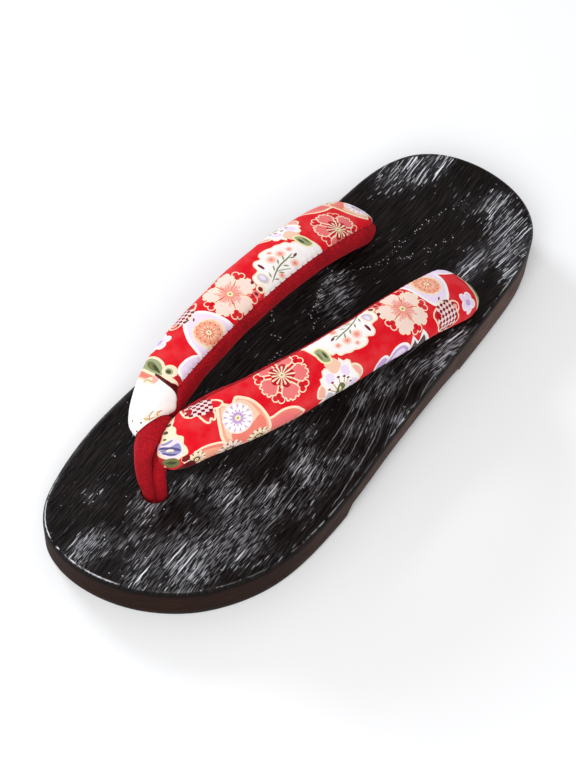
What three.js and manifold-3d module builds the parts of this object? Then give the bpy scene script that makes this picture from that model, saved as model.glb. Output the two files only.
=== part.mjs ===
// A left geta: a black wooden sandal on two low blocks, with a padded V strap and a velvet toe thong.
// Millimetres. +Z is up, the toe points to -Y and the outer side of the foot is +X.
import * as THREE from 'three';
import { mergeVertices } from 'three/addons/utils/BufferGeometryUtils.js';
import Module from 'manifold-3d';

const wasm = await Module();
wasm.setup();

// ---------------------------------------------------------------- driving dimensions
const length = 240;            // toe to heel
const treadThickness = 2;      // rubber sheet under each block
const gap = 0.3;               // kept between curved pieces that meet
const edgeRadius = 2.2;        // rounded upper edge of the wood
const bottomChamfer = 0.7;     // broken lower edge of the wood
const treadInset = 0.5;        // the rubber is a little smaller than the wood
const toeTreadEnd = -34;       // rear edge of the toe tread
const heelTreadStart = 47;     // front edge of the heel tread
const aroundSole = 88;         // facets round the outline
const aroundStrap = 20;        // facets round a padded branch
const aroundCord = 12;         // facets round the thong and the tails

// The sole, one row for each section: distance from the middle toward the heel, offset of the
// centre line to the outer side, half-width over that of a unit ellipse, and footbed height.
const soleRows = [
  { along: -120, middle: -7.9, fullness: 71.0, top: 16.9 },
  { along: -112, middle: -4.0, fullness: 66.3, top: 16.9 },
  { along: -96, middle: 1.1, fullness: 60.8, top: 17.1 },
  { along: -72, middle: 4.3, fullness: 55.5, top: 17.4 },
  { along: -40, middle: 4.7, fullness: 48.3, top: 17.9 },
  { along: 0, middle: 3.2, fullness: 42.2, top: 18.9 },
  { along: 40, middle: 0.8, fullness: 42.7, top: 20.1 },
  { along: 72, middle: -1.3, fullness: 48.7, top: 21.3 },
  { along: 96, middle: -2.2, fullness: 58.9, top: 22.2 },
  { along: 112, middle: -1.6, fullness: 70.3, top: 23.0 },
  { along: 120, middle: -0.7, fullness: 77.9, top: 23.3 },
];

// The recess between the two blocks: ceiling height at the outer and inner side.
const archRows = [
  { along: -34.5, outer: -1.0, inner: -1.0 },
  { along: -33.0, outer: 2.4, inner: 2.6 },
  { along: -30.0, outer: 6.4, inner: 7.8 },
  { along: -10.0, outer: 6.4, inner: 7.4 },
  { along: 14.0, outer: 6.4, inner: 6.0 },
  { along: 32.0, outer: 6.0, inner: 4.4 },
  { along: 42.0, outer: 4.6, inner: 3.0 },
  { along: 49.0, outer: 2.6, inner: 2.1 },
  { along: 51.0, outer: -1.0, inner: -1.0 },
];

// The padded branches, one row for each section: offset to the outer side, height of the middle,
// lean of the upper face toward its own side in degrees, half-width and half-thickness.
const outerBranch = [
  { along: -77.6, across: -0.9, height: 37.4, lean: 36, width: 6.0, thick: 9.2 },
  { along: -73.2, across: 0.3, height: 41.2, lean: 34, width: 7.7, thick: 9.9 },
  { along: -67, across: 2.2, height: 45.6, lean: 31, width: 9.2, thick: 9.4 },
  { along: -57, across: 6.0, height: 48.0, lean: 26, width: 10.2, thick: 8.7 },
  { along: -44, across: 10.8, height: 48.3, lean: 23, width: 10.5, thick: 8.7 },
  { along: -25, across: 16.3, height: 48.1, lean: 18, width: 10.3, thick: 8.6 },
  { along: 0, across: 21.0, height: 46.2, lean: 12, width: 10.2, thick: 8.3 },
  { along: 20, across: 23.4, height: 42.8, lean: 9, width: 10.7, thick: 7.7 },
  { along: 38, across: 24.7, height: 37.4, lean: 6, width: 11.3, thick: 7.2 },
  { along: 51, across: 25.3, height: 31.4, lean: 5, width: 11.7, thick: 6.9 },
  { along: 59, across: 25.6, height: 26.6, lean: 4, width: 11.7, thick: 6.7 },
  { along: 64.6, across: 25.4, height: 22.3, lean: 4, width: 11.3, thick: 6.5 },
];
const innerBranch = [
  { along: -81, across: -8.9, height: 44.0, lean: 18, width: 5.7, thick: 6.4 },
  { along: -76, across: -10.1, height: 46.0, lean: 18, width: 6.6, thick: 7.0 },
  { along: -68, across: -14.0, height: 47.2, lean: 15, width: 8.6, thick: 7.5 },
  { along: -57, across: -18.5, height: 47.2, lean: 11, width: 10.0, thick: 7.6 },
  { along: -44, across: -21.7, height: 46.4, lean: 6, width: 10.6, thick: 7.6 },
  { along: -25, across: -24.4, height: 45.4, lean: 2, width: 10.9, thick: 7.6 },
  { along: 0, across: -25.9, height: 43.8, lean: 0, width: 11.2, thick: 7.5 },
  { along: 20, across: -26.3, height: 41.0, lean: 0, width: 11.4, thick: 7.4 },
  { along: 38, across: -26.6, height: 35.6, lean: 2, width: 11.7, thick: 7.3 },
  { along: 52, across: -27.0, height: 29.0, lean: 4, width: 11.8, thick: 7.2 },
  { along: 60, across: -27.2, height: 24.2, lean: 5, width: 11.7, thick: 7.0 },
  { along: 66.5, across: -27.3, height: 19.8, lean: 5, width: 11.4, thick: 6.6 },
];

// The toe thong, from one leg in the front hole, over the nose of the strap, to the other leg.
const thongPath = [
  { across: -5.3, along: -80.15, height: 10.0, radius: 2.6 },
  { across: -5.5, along: -80.3, height: 17.5, radius: 2.6 },
  { across: -6.5, along: -81.0, height: 24.5, radius: 2.75 },
  { across: -7.1, along: -81.1, height: 32.0, radius: 2.95 },
  { across: -7.4, along: -80.6, height: 38.2, radius: 3.1 },
  { across: -7.7, along: -79.3, height: 43.6, radius: 3.6 },
  { across: -7.9, along: -77.1, height: 47.3, radius: 3.9 },
  { across: -8.0, along: -73.8, height: 48.95, radius: 3.4 },
  { across: -7.8, along: -70.2, height: 48.3, radius: 3.2 },
  { across: -7.4, along: -67.8, height: 45.0, radius: 3.0 },
  { across: -6.9, along: -68.2, height: 41.0, radius: 2.8 },
  { across: -6.1, along: -70.8, height: 37.8, radius: 2.7 },
  { across: -5.1, along: -74.2, height: 34.4, radius: 2.7 },
  { across: -4.2, along: -76.3, height: 29.6, radius: 2.7 },
  { across: -3.0, along: -77.3, height: 23.7, radius: 2.5 },
  { across: -1.9, along: -77.7, height: 17.5, radius: 2.2 },
  { across: -2.1, along: -77.8, height: 10.0, radius: 2.2 },
];

// The strap's tails and the thong's ends go down through these holes to a knot in a pocket below.
const frontHole = { across: -3.9, along: -78.95, radius: 5.0, pocket: 11.0, stem: 4.0, knot: 8.0 };
const outerHole = { across: 25.6, along: 58.5, radius: 4.6, pocket: 8.8, stem: 4.0, knot: 7.0 };
const innerHole = { across: -27.2, along: 58.5, radius: 4.6, pocket: 8.8, stem: 4.0, knot: 7.0 };
const pocketDepth = 9.5;       // from the floor to the pocket's ceiling
const knotHeight = 6.2;        // a knot, from its top to its bottom

// ---------------------------------------------------------------- materials
const charredWood = new THREE.MeshStandardMaterial({ color: 0x17120f, roughness: 0.45, metalness: 0 });
const blackRubber = new THREE.MeshStandardMaterial({ color: 0x0c0c0d, roughness: 0.7, metalness: 0 });
const printedCotton = new THREE.MeshStandardMaterial({ color: 0xd8283a, roughness: 0.8, metalness: 0 });
const redVelvet = new THREE.MeshStandardMaterial({ color: 0x8a0f24, roughness: 0.9, metalness: 0 });

// ---------------------------------------------------------------- working functions
// Reads one column of a table at any distance along, as a smooth curve through its rows.
function smooth(rows, column, along) {
  const last = rows.length - 1;
  let i = 0;
  while (i < last - 1 && along > rows[i + 1].along) i += 1;
  const slope = (a, b) => (rows[b][column] - rows[a][column]) / (rows[b].along - rows[a].along);
  const tangent = (k) => slope(Math.max(k - 1, 0), Math.min(k + 1, last));
  const span = rows[i + 1].along - rows[i].along;
  const t = THREE.MathUtils.clamp((along - rows[i].along) / span, 0, 1);
  const start = (2 * t ** 3 - 3 * t ** 2 + 1) * rows[i][column];
  const end = (3 * t ** 2 - 2 * t ** 3) * rows[i + 1][column];
  const leave = (t ** 3 - 2 * t ** 2 + t) * span * tangent(i);
  const arrive = (t ** 3 - t ** 2) * span * tangent(i + 1);
  return start + end + leave + arrive;
}

// Height of the footbed at a distance along the sole.
const footbed = (along) => smooth(soleRows, 'top', along);

// A point on the sole's outline in plan, moved inward by inset. Angle 0 is the toe tip.
function outline(angle, inset) {
  const at = (a) => {
    const along = -Math.cos(a) * length / 2;
    const across = smooth(soleRows, 'middle', along) + smooth(soleRows, 'fullness', along) * Math.sin(a);
    return new THREE.Vector2(across, along);
  };
  const step = 0.01;
  const heading = at(angle + step).sub(at(angle - step)).normalize();
  return at(angle).add(new THREE.Vector2(-heading.y, heading.x).multiplyScalar(inset));
}

// A closed solid through rings of equal count, from a first pole to a last pole, facing outward.
function loft(firstPole, rings, lastPole) {
  const count = rings[0].length;
  const points = [firstPole, ...rings.flat(), lastPole];
  const faces = [];
  const ring = (r, k) => 1 + r * count + (k % count);
  for (let k = 0; k < count; k += 1) {
    faces.push(0, ring(0, k + 1), ring(0, k));
    for (let r = 0; r < rings.length - 1; r += 1) {
      faces.push(ring(r, k), ring(r, k + 1), ring(r + 1, k + 1));
      faces.push(ring(r, k), ring(r + 1, k + 1), ring(r + 1, k));
    }
    faces.push(ring(rings.length - 1, k), ring(rings.length - 1, k + 1), points.length - 1);
  }
  let volume = 0;
  for (let i = 0; i < faces.length; i += 3) {
    const [a, b, c] = [points[faces[i]], points[faces[i + 1]], points[faces[i + 2]]];
    volume += a.dot(b.clone().cross(c));
  }
  if (volume < 0) faces.reverse();
  const geometry = new THREE.BufferGeometry().setFromPoints(points);
  geometry.setIndex(faces);
  return geometry;
}

// The middle of a ring of points, used as the pole that closes a flat end.
const centre = (ring) => ring.reduce((sum, p) => sum.add(p), new THREE.Vector3()).divideScalar(ring.length);
const closedLoft = (rings) => loft(centre(rings[0]), rings, centre(rings[rings.length - 1]));

// three.js geometry to a manifold solid, and back.
function solid(geometry) {
  const bare = geometry.clone();
  bare.deleteAttribute('normal');
  bare.deleteAttribute('uv');
  const merged = mergeVertices(bare, 1e-5);
  const vertProperties = new Float32Array(merged.attributes.position.array);
  const triVerts = new Uint32Array(merged.index.array);
  return new wasm.Manifold(new wasm.Mesh({ numProp: 3, vertProperties, triVerts }));
}
function geometryOf(body) {
  const mesh = body.getMesh();
  const geometry = new THREE.BufferGeometry();
  geometry.setAttribute('position', new THREE.Float32BufferAttribute(mesh.vertProperties, 3));
  geometry.setIndex(Array.from(mesh.triVerts));
  geometry.computeVertexNormals();
  return geometry;
}

// An upright cylinder standing at a point in plan between two heights.
function post(across, along, radius, low, high) {
  const geometry = new THREE.CylinderGeometry(radius, radius, high - low, 32);
  geometry.rotateX(Math.PI / 2);
  geometry.translate(across, along, (low + high) / 2);
  return solid(geometry);
}

// A block across the whole sole between two distances along, from well below to well above.
function band(from, to) {
  const geometry = new THREE.BoxGeometry(length, to - from, length);
  geometry.translate(0, (from + to) / 2, 0);
  return solid(geometry);
}

// ---------------------------------------------------------------- sole and treads
// A ring round the sole: scaled toward the middle, or moved in from the edge, at a given height.
function soleRing(scale, inset, height) {
  const ring = [];
  for (let k = 0; k < aroundSole; k += 1) {
    const p = outline(2 * Math.PI * k / aroundSole, inset).multiplyScalar(scale);
    ring.push(new THREE.Vector3(p.x, p.y, height(p.y)));
  }
  return ring;
}

// The plank before it is cut: flat below, rising footbed above, upper edge rounded.
function plank() {
  const rings = [0.35, 0.7].map((scale) => soleRing(scale, edgeRadius, footbed));
  for (const turn of [0, 30, 60, 90]) {
    const angle = THREE.MathUtils.degToRad(turn);
    const inset = edgeRadius * (1 - Math.sin(angle));
    const drop = edgeRadius * (1 - Math.cos(angle));
    rings.push(soleRing(1, inset, (along) => footbed(along) - drop));
  }
  rings.push(soleRing(1, 0, () => treadThickness + bottomChamfer));
  rings.push(soleRing(1, bottomChamfer, () => treadThickness));
  rings.push(soleRing(0.5, bottomChamfer, () => treadThickness));
  const above = new THREE.Vector3(0, 0, footbed(0));
  const below = new THREE.Vector3(0, 0, treadThickness);
  return solid(loft(above, rings, below));
}

// The space between the blocks, right across the sole, its ceiling ruled from side to side.
function archSpace() {
  const reach = 52;
  const columns = 8;
  const rings = archRows.map((row) => {
    const ceiling = Array.from({ length: columns + 1 }, (_, k) => {
      const share = k / columns;
      const height = THREE.MathUtils.lerp(row.outer, row.inner, share);
      return new THREE.Vector3(reach * (1 - 2 * share), row.along, height);
    });
    return [new THREE.Vector3(-reach, row.along, -3), new THREE.Vector3(reach, row.along, -3), ...ceiling];
  });
  return solid(closedLoft(rings));
}

const holes = [frontHole, outerHole, innerHole];
const bore = (hole) => post(hole.across, hole.along, hole.radius, 0, length / 4);
const pocket = (hole) => post(hole.across, hole.along, hole.pocket, -length / 4, pocketDepth);

function woodenBase() {
  let body = plank().subtract(archSpace());
  for (const hole of holes) body = body.subtract(bore(hole)).subtract(pocket(hole));
  return body;
}

// The whole rubber sheet, cut to one block by its two ends along the sole.
function tread(from, to) {
  const edge = treadInset + bottomChamfer;
  const rings = [
    soleRing(0.5, treadInset, () => treadThickness),
    soleRing(1, treadInset, () => treadThickness),
    soleRing(1, treadInset, () => bottomChamfer),
    soleRing(1, edge, () => 0),
    soleRing(0.5, edge, () => 0),
  ];
  const sheet = loft(new THREE.Vector3(0, 0, treadThickness), rings, new THREE.Vector3(0, 0, 0));
  let body = solid(sheet).intersect(band(from, to));
  for (const hole of holes) body = body.subtract(pocket(hole));
  return body;
}

// ---------------------------------------------------------------- strap
// One padded branch. Its ends are rounded: the section shrinks like a circle's in the last stretch.
function branch(rows, side) {
  const start = rows[0].along;
  const end = rows[rows.length - 1].along;
  const noseRound = 8;
  const heelRound = 11;
  const quarter = [15, 35, 55, 72].map((turn) => THREE.MathUtils.degToRad(turn));
  const stations = [
    ...quarter.map((a) => start + noseRound * (1 - Math.cos(a))),
    ...Array.from({ length: 19 }, (_, k) => THREE.MathUtils.lerp(start + noseRound, end - heelRound, k / 18)),
    ...quarter.toReversed().map((a) => end - heelRound * (1 - Math.cos(a))),
  ];
  const middle = (along) => new THREE.Vector3(
    smooth(rows, 'across', along),
    along,
    smooth(rows, 'height', along),
  );
  const ends = (along) => {
    const fromStart = THREE.MathUtils.clamp((along - start) / noseRound, 0, 1);
    const fromEnd = THREE.MathUtils.clamp((end - along) / heelRound, 0, 1);
    return Math.sqrt(1 - (1 - fromStart) ** 2) * Math.sqrt(1 - (1 - fromEnd) ** 2);
  };
  const soft = (value, power) => Math.sign(value) * Math.abs(value) ** power;
  const rings = stations.map((along) => {
    const heading = middle(along + 0.5).sub(middle(along - 0.5)).normalize();
    const sideways = heading.clone().cross(new THREE.Vector3(0, 0, side)).normalize();
    const upward = sideways.clone().cross(heading).multiplyScalar(side);
    const lean = THREE.MathUtils.degToRad(smooth(rows, 'lean', along));
    const wide = sideways.clone().multiplyScalar(Math.cos(lean)).addScaledVector(upward, -Math.sin(lean));
    const tall = upward.clone().multiplyScalar(Math.cos(lean)).addScaledVector(sideways, Math.sin(lean));
    const width = smooth(rows, 'width', along) * ends(along);
    const thick = smooth(rows, 'thick', along) * ends(along);
    return Array.from({ length: aroundStrap }, (_, k) => {
      const turn = 2 * Math.PI * k / aroundStrap;
      return middle(along)
        .addScaledVector(wide, width * soft(Math.cos(turn), 0.85))
        .addScaledVector(tall, thick * soft(Math.sin(turn), 0.85));
    });
  });
  return solid(loft(middle(start), rings, middle(end)));
}

// Everything below a surface that lies one gap over the footbed.
function underFootbed() {
  const reach = length;
  const rings = soleRows.map((row) => [
    new THREE.Vector3(-reach, row.along * 1.2, -reach),
    new THREE.Vector3(reach, row.along * 1.2, -reach),
    new THREE.Vector3(reach, row.along * 1.2, footbed(row.along * 1.2) + gap),
    new THREE.Vector3(-reach, row.along * 1.2, footbed(row.along * 1.2) + gap),
  ]);
  return solid(closedLoft(rings));
}

// A stem through a hole with a rounded knot under it, both clear of the wood by the gap.
function tail(hole, top) {
  const knotTop = pocketDepth - gap;
  const knot = new THREE.SphereGeometry(1, 20, 10);
  knot.rotateX(Math.PI / 2);
  knot.scale(hole.knot, hole.knot, knotHeight / 2);
  knot.translate(hole.across, hole.along, knotTop - knotHeight / 2);
  return solid(knot).add(post(hole.across, hole.along, hole.stem, knotTop - knotHeight / 2, top));
}

// A soft cord along a path of rows, each with its own radius, grown by a margin.
function cord(rows, margin) {
  const path = new THREE.CatmullRomCurve3(rows.map((r) => new THREE.Vector3(r.across, r.along, r.height)));
  const steps = (rows.length - 1) * 4;
  const frames = path.computeFrenetFrames(steps, false);
  const rings = Array.from({ length: steps + 1 }, (_, i) => {
    const u = i / steps;
    const place = path.getUtoTmapping(u) * (rows.length - 1);
    const row = Math.min(Math.floor(place), rows.length - 2);
    const radius = THREE.MathUtils.lerp(rows[row].radius, rows[row + 1].radius, place - row) + margin;
    return Array.from({ length: aroundCord }, (_, k) => {
      const turn = 2 * Math.PI * k / aroundCord;
      return path.getPointAt(u)
        .addScaledVector(frames.normals[i], radius * Math.cos(turn))
        .addScaledVector(frames.binormals[i], radius * Math.sin(turn));
    });
  });
  return solid(closedLoft(rings));
}

function strap() {
  const padded = branch(outerBranch, 1).add(branch(innerBranch, -1)).subtract(underFootbed());
  const tails = [outerHole, innerHole].map((hole) => tail(hole, footbed(hole.along) + 2));
  return padded.subtract(cord(thongPath, gap)).add(tails[0]).add(tails[1]);
}

function toeThong() {
  return cord(thongPath, 0).add(tail(frontHole, pocketDepth + 3));
}

// ---------------------------------------------------------------- the sandal
const sandal = new THREE.Group();
function piece(name, body, material) {
  const mesh = new THREE.Mesh(geometryOf(body), material);
  mesh.name = name;
  sandal.add(mesh);
  return mesh;
}

const base = piece('dai', woodenBase(), charredWood);
piece('toe_tread', tread(-length, toeTreadEnd), blackRubber);
piece('heel_tread', tread(heelTreadStart, length), blackRubber);
piece('hanao', strap(), printedCotton);
piece('maetsubo', toeThong(), redVelvet);

// The widest points of the wood are centred over the origin.
base.geometry.computeBoundingBox();
sandal.position.x = -(base.geometry.boundingBox.min.x + base.geometry.boundingBox.max.x) / 2;

export default sandal;
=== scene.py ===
# %% [markdown]
# # A left geta
# This lesson dresses a packed wooden sandal: a burnt and brushed sole on two low blocks, a padded
# V strap of printed cotton lined with velvet, and a velvet toe thong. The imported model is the
# frame, and every piece made here lies where its solid is. The tables below are in millimetres:
# the toe points to -Y, the outer side of the foot is +X and +Z is up.

# %% Load the frame
import math
import bpy
import numpy as np
from mathutils import Matrix, Vector
from mathutils.geometry import delaunay_2d_cdt


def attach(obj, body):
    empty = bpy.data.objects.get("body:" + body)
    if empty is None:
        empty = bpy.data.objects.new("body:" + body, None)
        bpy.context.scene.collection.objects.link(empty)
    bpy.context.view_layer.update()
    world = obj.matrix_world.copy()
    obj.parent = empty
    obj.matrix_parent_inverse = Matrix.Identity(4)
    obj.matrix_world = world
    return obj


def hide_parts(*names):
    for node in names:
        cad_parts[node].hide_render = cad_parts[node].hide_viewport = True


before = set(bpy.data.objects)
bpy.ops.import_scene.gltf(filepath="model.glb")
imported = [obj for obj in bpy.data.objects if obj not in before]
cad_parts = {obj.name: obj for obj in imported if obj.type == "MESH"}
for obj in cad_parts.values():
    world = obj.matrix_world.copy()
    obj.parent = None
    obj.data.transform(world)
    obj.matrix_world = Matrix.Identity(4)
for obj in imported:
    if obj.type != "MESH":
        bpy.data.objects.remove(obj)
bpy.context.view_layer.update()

# %% [markdown]
# ## Camera, floor and light
# A product view needs a long lens, so that the toe isn't blown up against the heel. The camera is
# placed by three facts: where it stands, what it looks at and how far it is rolled. The light is a
# bright room, one broad panel over the toe, and a low panel on the inner side that grazes the wood,
# so that the flanks of the brushed ridges catch it.

# %% Camera
def look(place, aim, roll):
    back = (Vector(place) - Vector(aim)).normalized()
    turned = back.to_track_quat("Z", "Y").to_matrix() @ Matrix.Rotation(math.radians(roll), 3, "Z")
    return Matrix.Translation(place) @ turned.to_4x4()


def put(name, data):
    """Makes an object and links it to the scene."""
    made = bpy.data.objects.new(name, data)
    bpy.context.scene.collection.objects.link(made)
    return made


camera = put("camera", bpy.data.cameras.new("camera"))
camera.matrix_world = look((0.2280, -0.3168, 0.5893), (-0.0055, -0.0087, 0.012), 4.33)
camera.data.lens = 85.8
camera.data.sensor_width = 36
bpy.context.scene.camera = camera
print("camera at", [round(v, 3) for v in camera.matrix_world.translation])

# %% Floor and light
def panel(name, place, size, power, tint=(1, 1, 1)):
    light = bpy.data.lights.new(name, "AREA")
    light.shape, light.size, light.energy, light.color = "DISK", size, power, tint
    put(name, light).matrix_world = look(place, (0, 0, 0), 0)


bpy.ops.mesh.primitive_plane_add(size=8)
floor = bpy.context.object
floor.name = "floor"
paper = bpy.data.materials.new("pale paper")
paper.use_nodes = True
paper.node_tree.nodes["Principled BSDF"].inputs["Base Color"].default_value = (0.93, 0.93, 0.93, 1)
paper.node_tree.nodes["Principled BSDF"].inputs["Roughness"].default_value = 0.9
floor.data.materials.append(paper)
world = bpy.data.worlds.new("bright room")
world.use_nodes = True
world.node_tree.nodes["Background"].inputs["Color"].default_value = (0.97, 0.98, 1.0, 1)
world.node_tree.nodes["Background"].inputs["Strength"].default_value = 0.5
bpy.context.scene.world = world
bpy.context.scene.view_settings.view_transform = "Standard"
panel("over the toe", (0.5, -1.0, 1.3), 1.2, 20)
panel("low on the inner side", (-1.3, 0.2, 0.6), 0.5, 10, (0.93, 0.96, 1.0))

# %% [markdown]
# ## Tables of the shape
# The solids were drawn from short tables, one row for each section along the sole. The same rows
# are repeated here, and a smooth curve through the rows gives every size in between. The rows
# count sideways from the middle of the foot, so everything shifts until the sole is centred.

# %% The tables
def table(columns, *rows):
    return {name: np.array(values, float) for name, values in zip(columns.split(), zip(*rows))}


SOLE = table("along middle fullness top",
    (-120, -7.9, 71.0, 16.9), (-112, -4.0, 66.3, 16.9), (-96, 1.1, 60.8, 17.1), (-72, 4.3, 55.5, 17.4),
    (-40, 4.7, 48.3, 17.9), (0, 3.2, 42.2, 18.9), (40, 0.8, 42.7, 20.1), (72, -1.3, 48.7, 21.3),
    (96, -2.2, 58.9, 22.2), (112, -1.6, 70.3, 23.0), (120, -0.7, 77.9, 23.3))
ARCH = table("along outer inner",
    (-34.5, -1.0, -1.0), (-33.0, 2.4, 2.6), (-30.0, 6.4, 7.8), (-10.0, 6.4, 7.4), (14.0, 6.4, 6.0),
    (32.0, 6.0, 4.4), (42.0, 4.6, 3.0), (49.0, 2.6, 2.1), (51.0, -1.0, -1.0))
OUTER = table("along across height lean width thick",
    (-77.6, -0.9, 37.4, 36, 6.0, 9.2), (-73.2, 0.3, 41.2, 34, 7.7, 9.9), (-67, 2.2, 45.6, 31, 9.2, 9.4),
    (-57, 6.0, 48.0, 26, 10.2, 8.7), (-44, 10.8, 48.3, 23, 10.5, 8.7), (-25, 16.3, 48.1, 18, 10.3, 8.6),
    (0, 21.0, 46.2, 12, 10.2, 8.3), (20, 23.4, 42.8, 9, 10.7, 7.7), (38, 24.7, 37.4, 6, 11.3, 7.2),
    (51, 25.3, 31.4, 5, 11.7, 6.9), (59, 25.6, 26.6, 4, 11.7, 6.7), (64.6, 25.4, 22.3, 4, 11.3, 6.5))
INNER = table("along across height lean width thick",
    (-81, -8.9, 44.0, 18, 5.7, 6.4), (-76, -10.1, 46.0, 18, 6.6, 7.0), (-68, -14.0, 47.2, 15, 8.6, 7.5),
    (-57, -18.5, 47.2, 11, 10.0, 7.6), (-44, -21.7, 46.4, 6, 10.6, 7.6), (-25, -24.4, 45.4, 2, 10.9, 7.6),
    (0, -25.9, 43.8, 0, 11.2, 7.5), (20, -26.3, 41.0, 0, 11.4, 7.4), (38, -26.6, 35.6, 2, 11.7, 7.3),
    (52, -27.0, 29.0, 4, 11.8, 7.2), (60, -27.2, 24.2, 5, 11.7, 7.0), (66.5, -27.3, 19.8, 5, 11.4, 6.6))
THONG = table("across along height radius",
    (-5.3, -80.15, 10.0, 2.6), (-5.5, -80.3, 17.5, 2.6), (-6.5, -81.0, 24.5, 2.75), (-7.1, -81.1, 32.0, 2.95),
    (-7.4, -80.6, 38.2, 3.1), (-7.7, -79.3, 43.6, 3.6), (-7.9, -77.1, 47.3, 3.9), (-8.0, -73.8, 48.95, 3.4),
    (-7.8, -70.2, 48.3, 3.2), (-7.4, -67.8, 45.0, 3.0), (-6.9, -68.2, 41.0, 2.8), (-6.1, -70.8, 37.8, 2.7),
    (-5.1, -74.2, 34.4, 2.7), (-4.2, -76.3, 29.6, 2.7), (-3.0, -77.3, 23.7, 2.5), (-1.9, -77.7, 17.5, 2.2),
    (-2.1, -77.8, 10.0, 2.2))
HOLES = table("across along bore pocket knot",
    (-3.9, -78.95, 5.0, 11.0, 8.0), (25.6, 58.5, 4.6, 8.8, 7.0), (-27.2, 58.5, 4.6, 8.8, 7.0))
HALF_LENGTH, WIDEST, TREAD, EDGE, CHAMFER, MOUTH, POCKET_TOP = 120, 52, 2.0, 2.2, 0.7, 0.7, 9.5
ALL_ROUND = np.linspace(0, 2 * math.pi, 720, endpoint=False)
HOLE_SIDES = 72


def between(t, start, end, start_slope, end_slope):
    """A cubic from start to end with the given slopes, t from 0 to 1."""
    ends = (2 * t**3 - 3 * t**2 + 1) * start + (3 * t**2 - 2 * t**3) * end
    return ends + (t**3 - 2 * t**2 + t) * start_slope + (t**3 - t**2) * end_slope


def smooth(rows, column, at):
    """One column of a table at any distance along, as a smooth curve through its rows."""
    x, y = rows["along"], rows[column]
    k = np.arange(len(x))
    low, high = np.maximum(k - 1, 0), np.minimum(k + 1, len(x) - 1)
    tangent = (y[high] - y[low]) / (x[high] - x[low])
    i = np.clip(np.searchsorted(x, at, side="right") - 1, 0, len(x) - 2)
    span = x[i + 1] - x[i]
    t = np.clip((at - x[i]) / span, 0, 1)
    return between(t, y[i], y[i + 1], span * tangent[i], span * tangent[i + 1])


def outline(angle, inset=0.0):
    """Points on the sole's outline in plan, moved inward by inset. Angle 0 is the toe tip."""
    def at(a):
        along = -np.cos(a) * HALF_LENGTH
        across = smooth(SOLE, "middle", along) + smooth(SOLE, "fullness", along) * np.sin(a)
        return np.stack([across, along], -1)
    heading = at(angle + 0.01) - at(angle - 0.01)
    heading /= np.linalg.norm(heading, axis=-1, keepdims=True)
    return at(angle) + inset * np.stack([-heading[..., 1], heading[..., 0]], -1)


rim = outline(np.linspace(0, 2 * math.pi, 88, endpoint=False))
SHIFT = -(rim[:, 0].min() + rim[:, 0].max()) / 2

# %% [markdown]
# ## Helpers for meshes
# Long pieces are grids: rings of points joined into quads. One helper makes the faces, another
# turns points in millimetres into a smooth piece that rides on the sandal, and a third makes
# soft random hills, which stand for everything a hand leaves a little uneven.

# %% Mesh helpers
def grid_faces(rings, around):
    steps = [(k, (k + 1) % around) for k in range(around)]
    return [(r + k, r + after, r + around + after, r + around + k)
            for r in range(0, (rings - 1) * around, around) for k, after in steps]


def capped_faces(rings, around):
    """A grid closed at both ends. Its poles are the two points after the last ring."""
    last, pole = (rings - 1) * around, rings * around
    faces = grid_faces(rings, around) + [(k, pole, (k + 1) % around) for k in range(around)]
    return faces + [(last + (k + 1) % around, pole + 1, last + k) for k in range(around)]


def new_mesh(name, points, faces, edges=()):
    """A mesh in metres from points in table millimetres."""
    mesh = bpy.data.meshes.new(name)
    place = (np.array(points, float) + (SHIFT, 0, 0)) / 1000
    mesh.from_pydata(place.tolist(), list(edges), [tuple(int(i) for i in f) for f in faces])
    return mesh


def lay(mesh, name, kind, domain, values):
    """Keeps a number or a direction for each point or corner of a mesh."""
    layer = mesh.attributes.new(name, "FLOAT_VECTOR" if kind == "vector" else "FLOAT", domain)
    layer.data.foreach_set(kind, np.asarray(values, np.float32).ravel())


def make_piece(name, points, faces, material, slot, stands_for, attributes=None, finish=None):
    """A smooth mesh, riding on the sandal in place of some of its solids."""
    mesh = new_mesh(name, points, faces)
    for key, values in (attributes or {}).items():
        lay(mesh, key, "value", "POINT", values)
    mesh.shade_smooth()
    mesh.materials.append(material)
    made = put(name, mesh)
    if finish:
        finish(made)
    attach(made, "root")
    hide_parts(*stands_for)
    triangles_in = sum(len(face.vertices) - 2 for face in made.data.polygons)
    print(name, len(made.data.vertices), "points", triangles_in, "triangles")
    return made


def hills(x, y, seed):
    """Smooth random heights from -1 to 1, the same on every run. One hill is about one unit wide."""
    xi, yi = np.floor(x), np.floor(y)
    u, v = x - xi, y - yi
    u, v = u * u * (3 - 2 * u), v * v * (3 - 2 * v)
    def knot(i, j):
        q = np.sin(i * 127.1 + j * 311.7 + seed * 74.7) * 43758.5453
        return 2 * (q - np.floor(q)) - 1
    near = knot(xi, yi) * (1 - u) + knot(xi + 1, yi) * u
    far = knot(xi, yi + 1) * (1 - u) + knot(xi + 1, yi + 1) * u
    return near * (1 - v) + far * v


def ease(x):
    x = np.clip(x, 0, 1)
    return x * x * (3 - 2 * x)


# %% [markdown]
# ## Helpers for materials
# A material is a small network of nodes. This class holds one and has a short call for each kind
# of step. What two materials share is a node group with named inputs.

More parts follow.
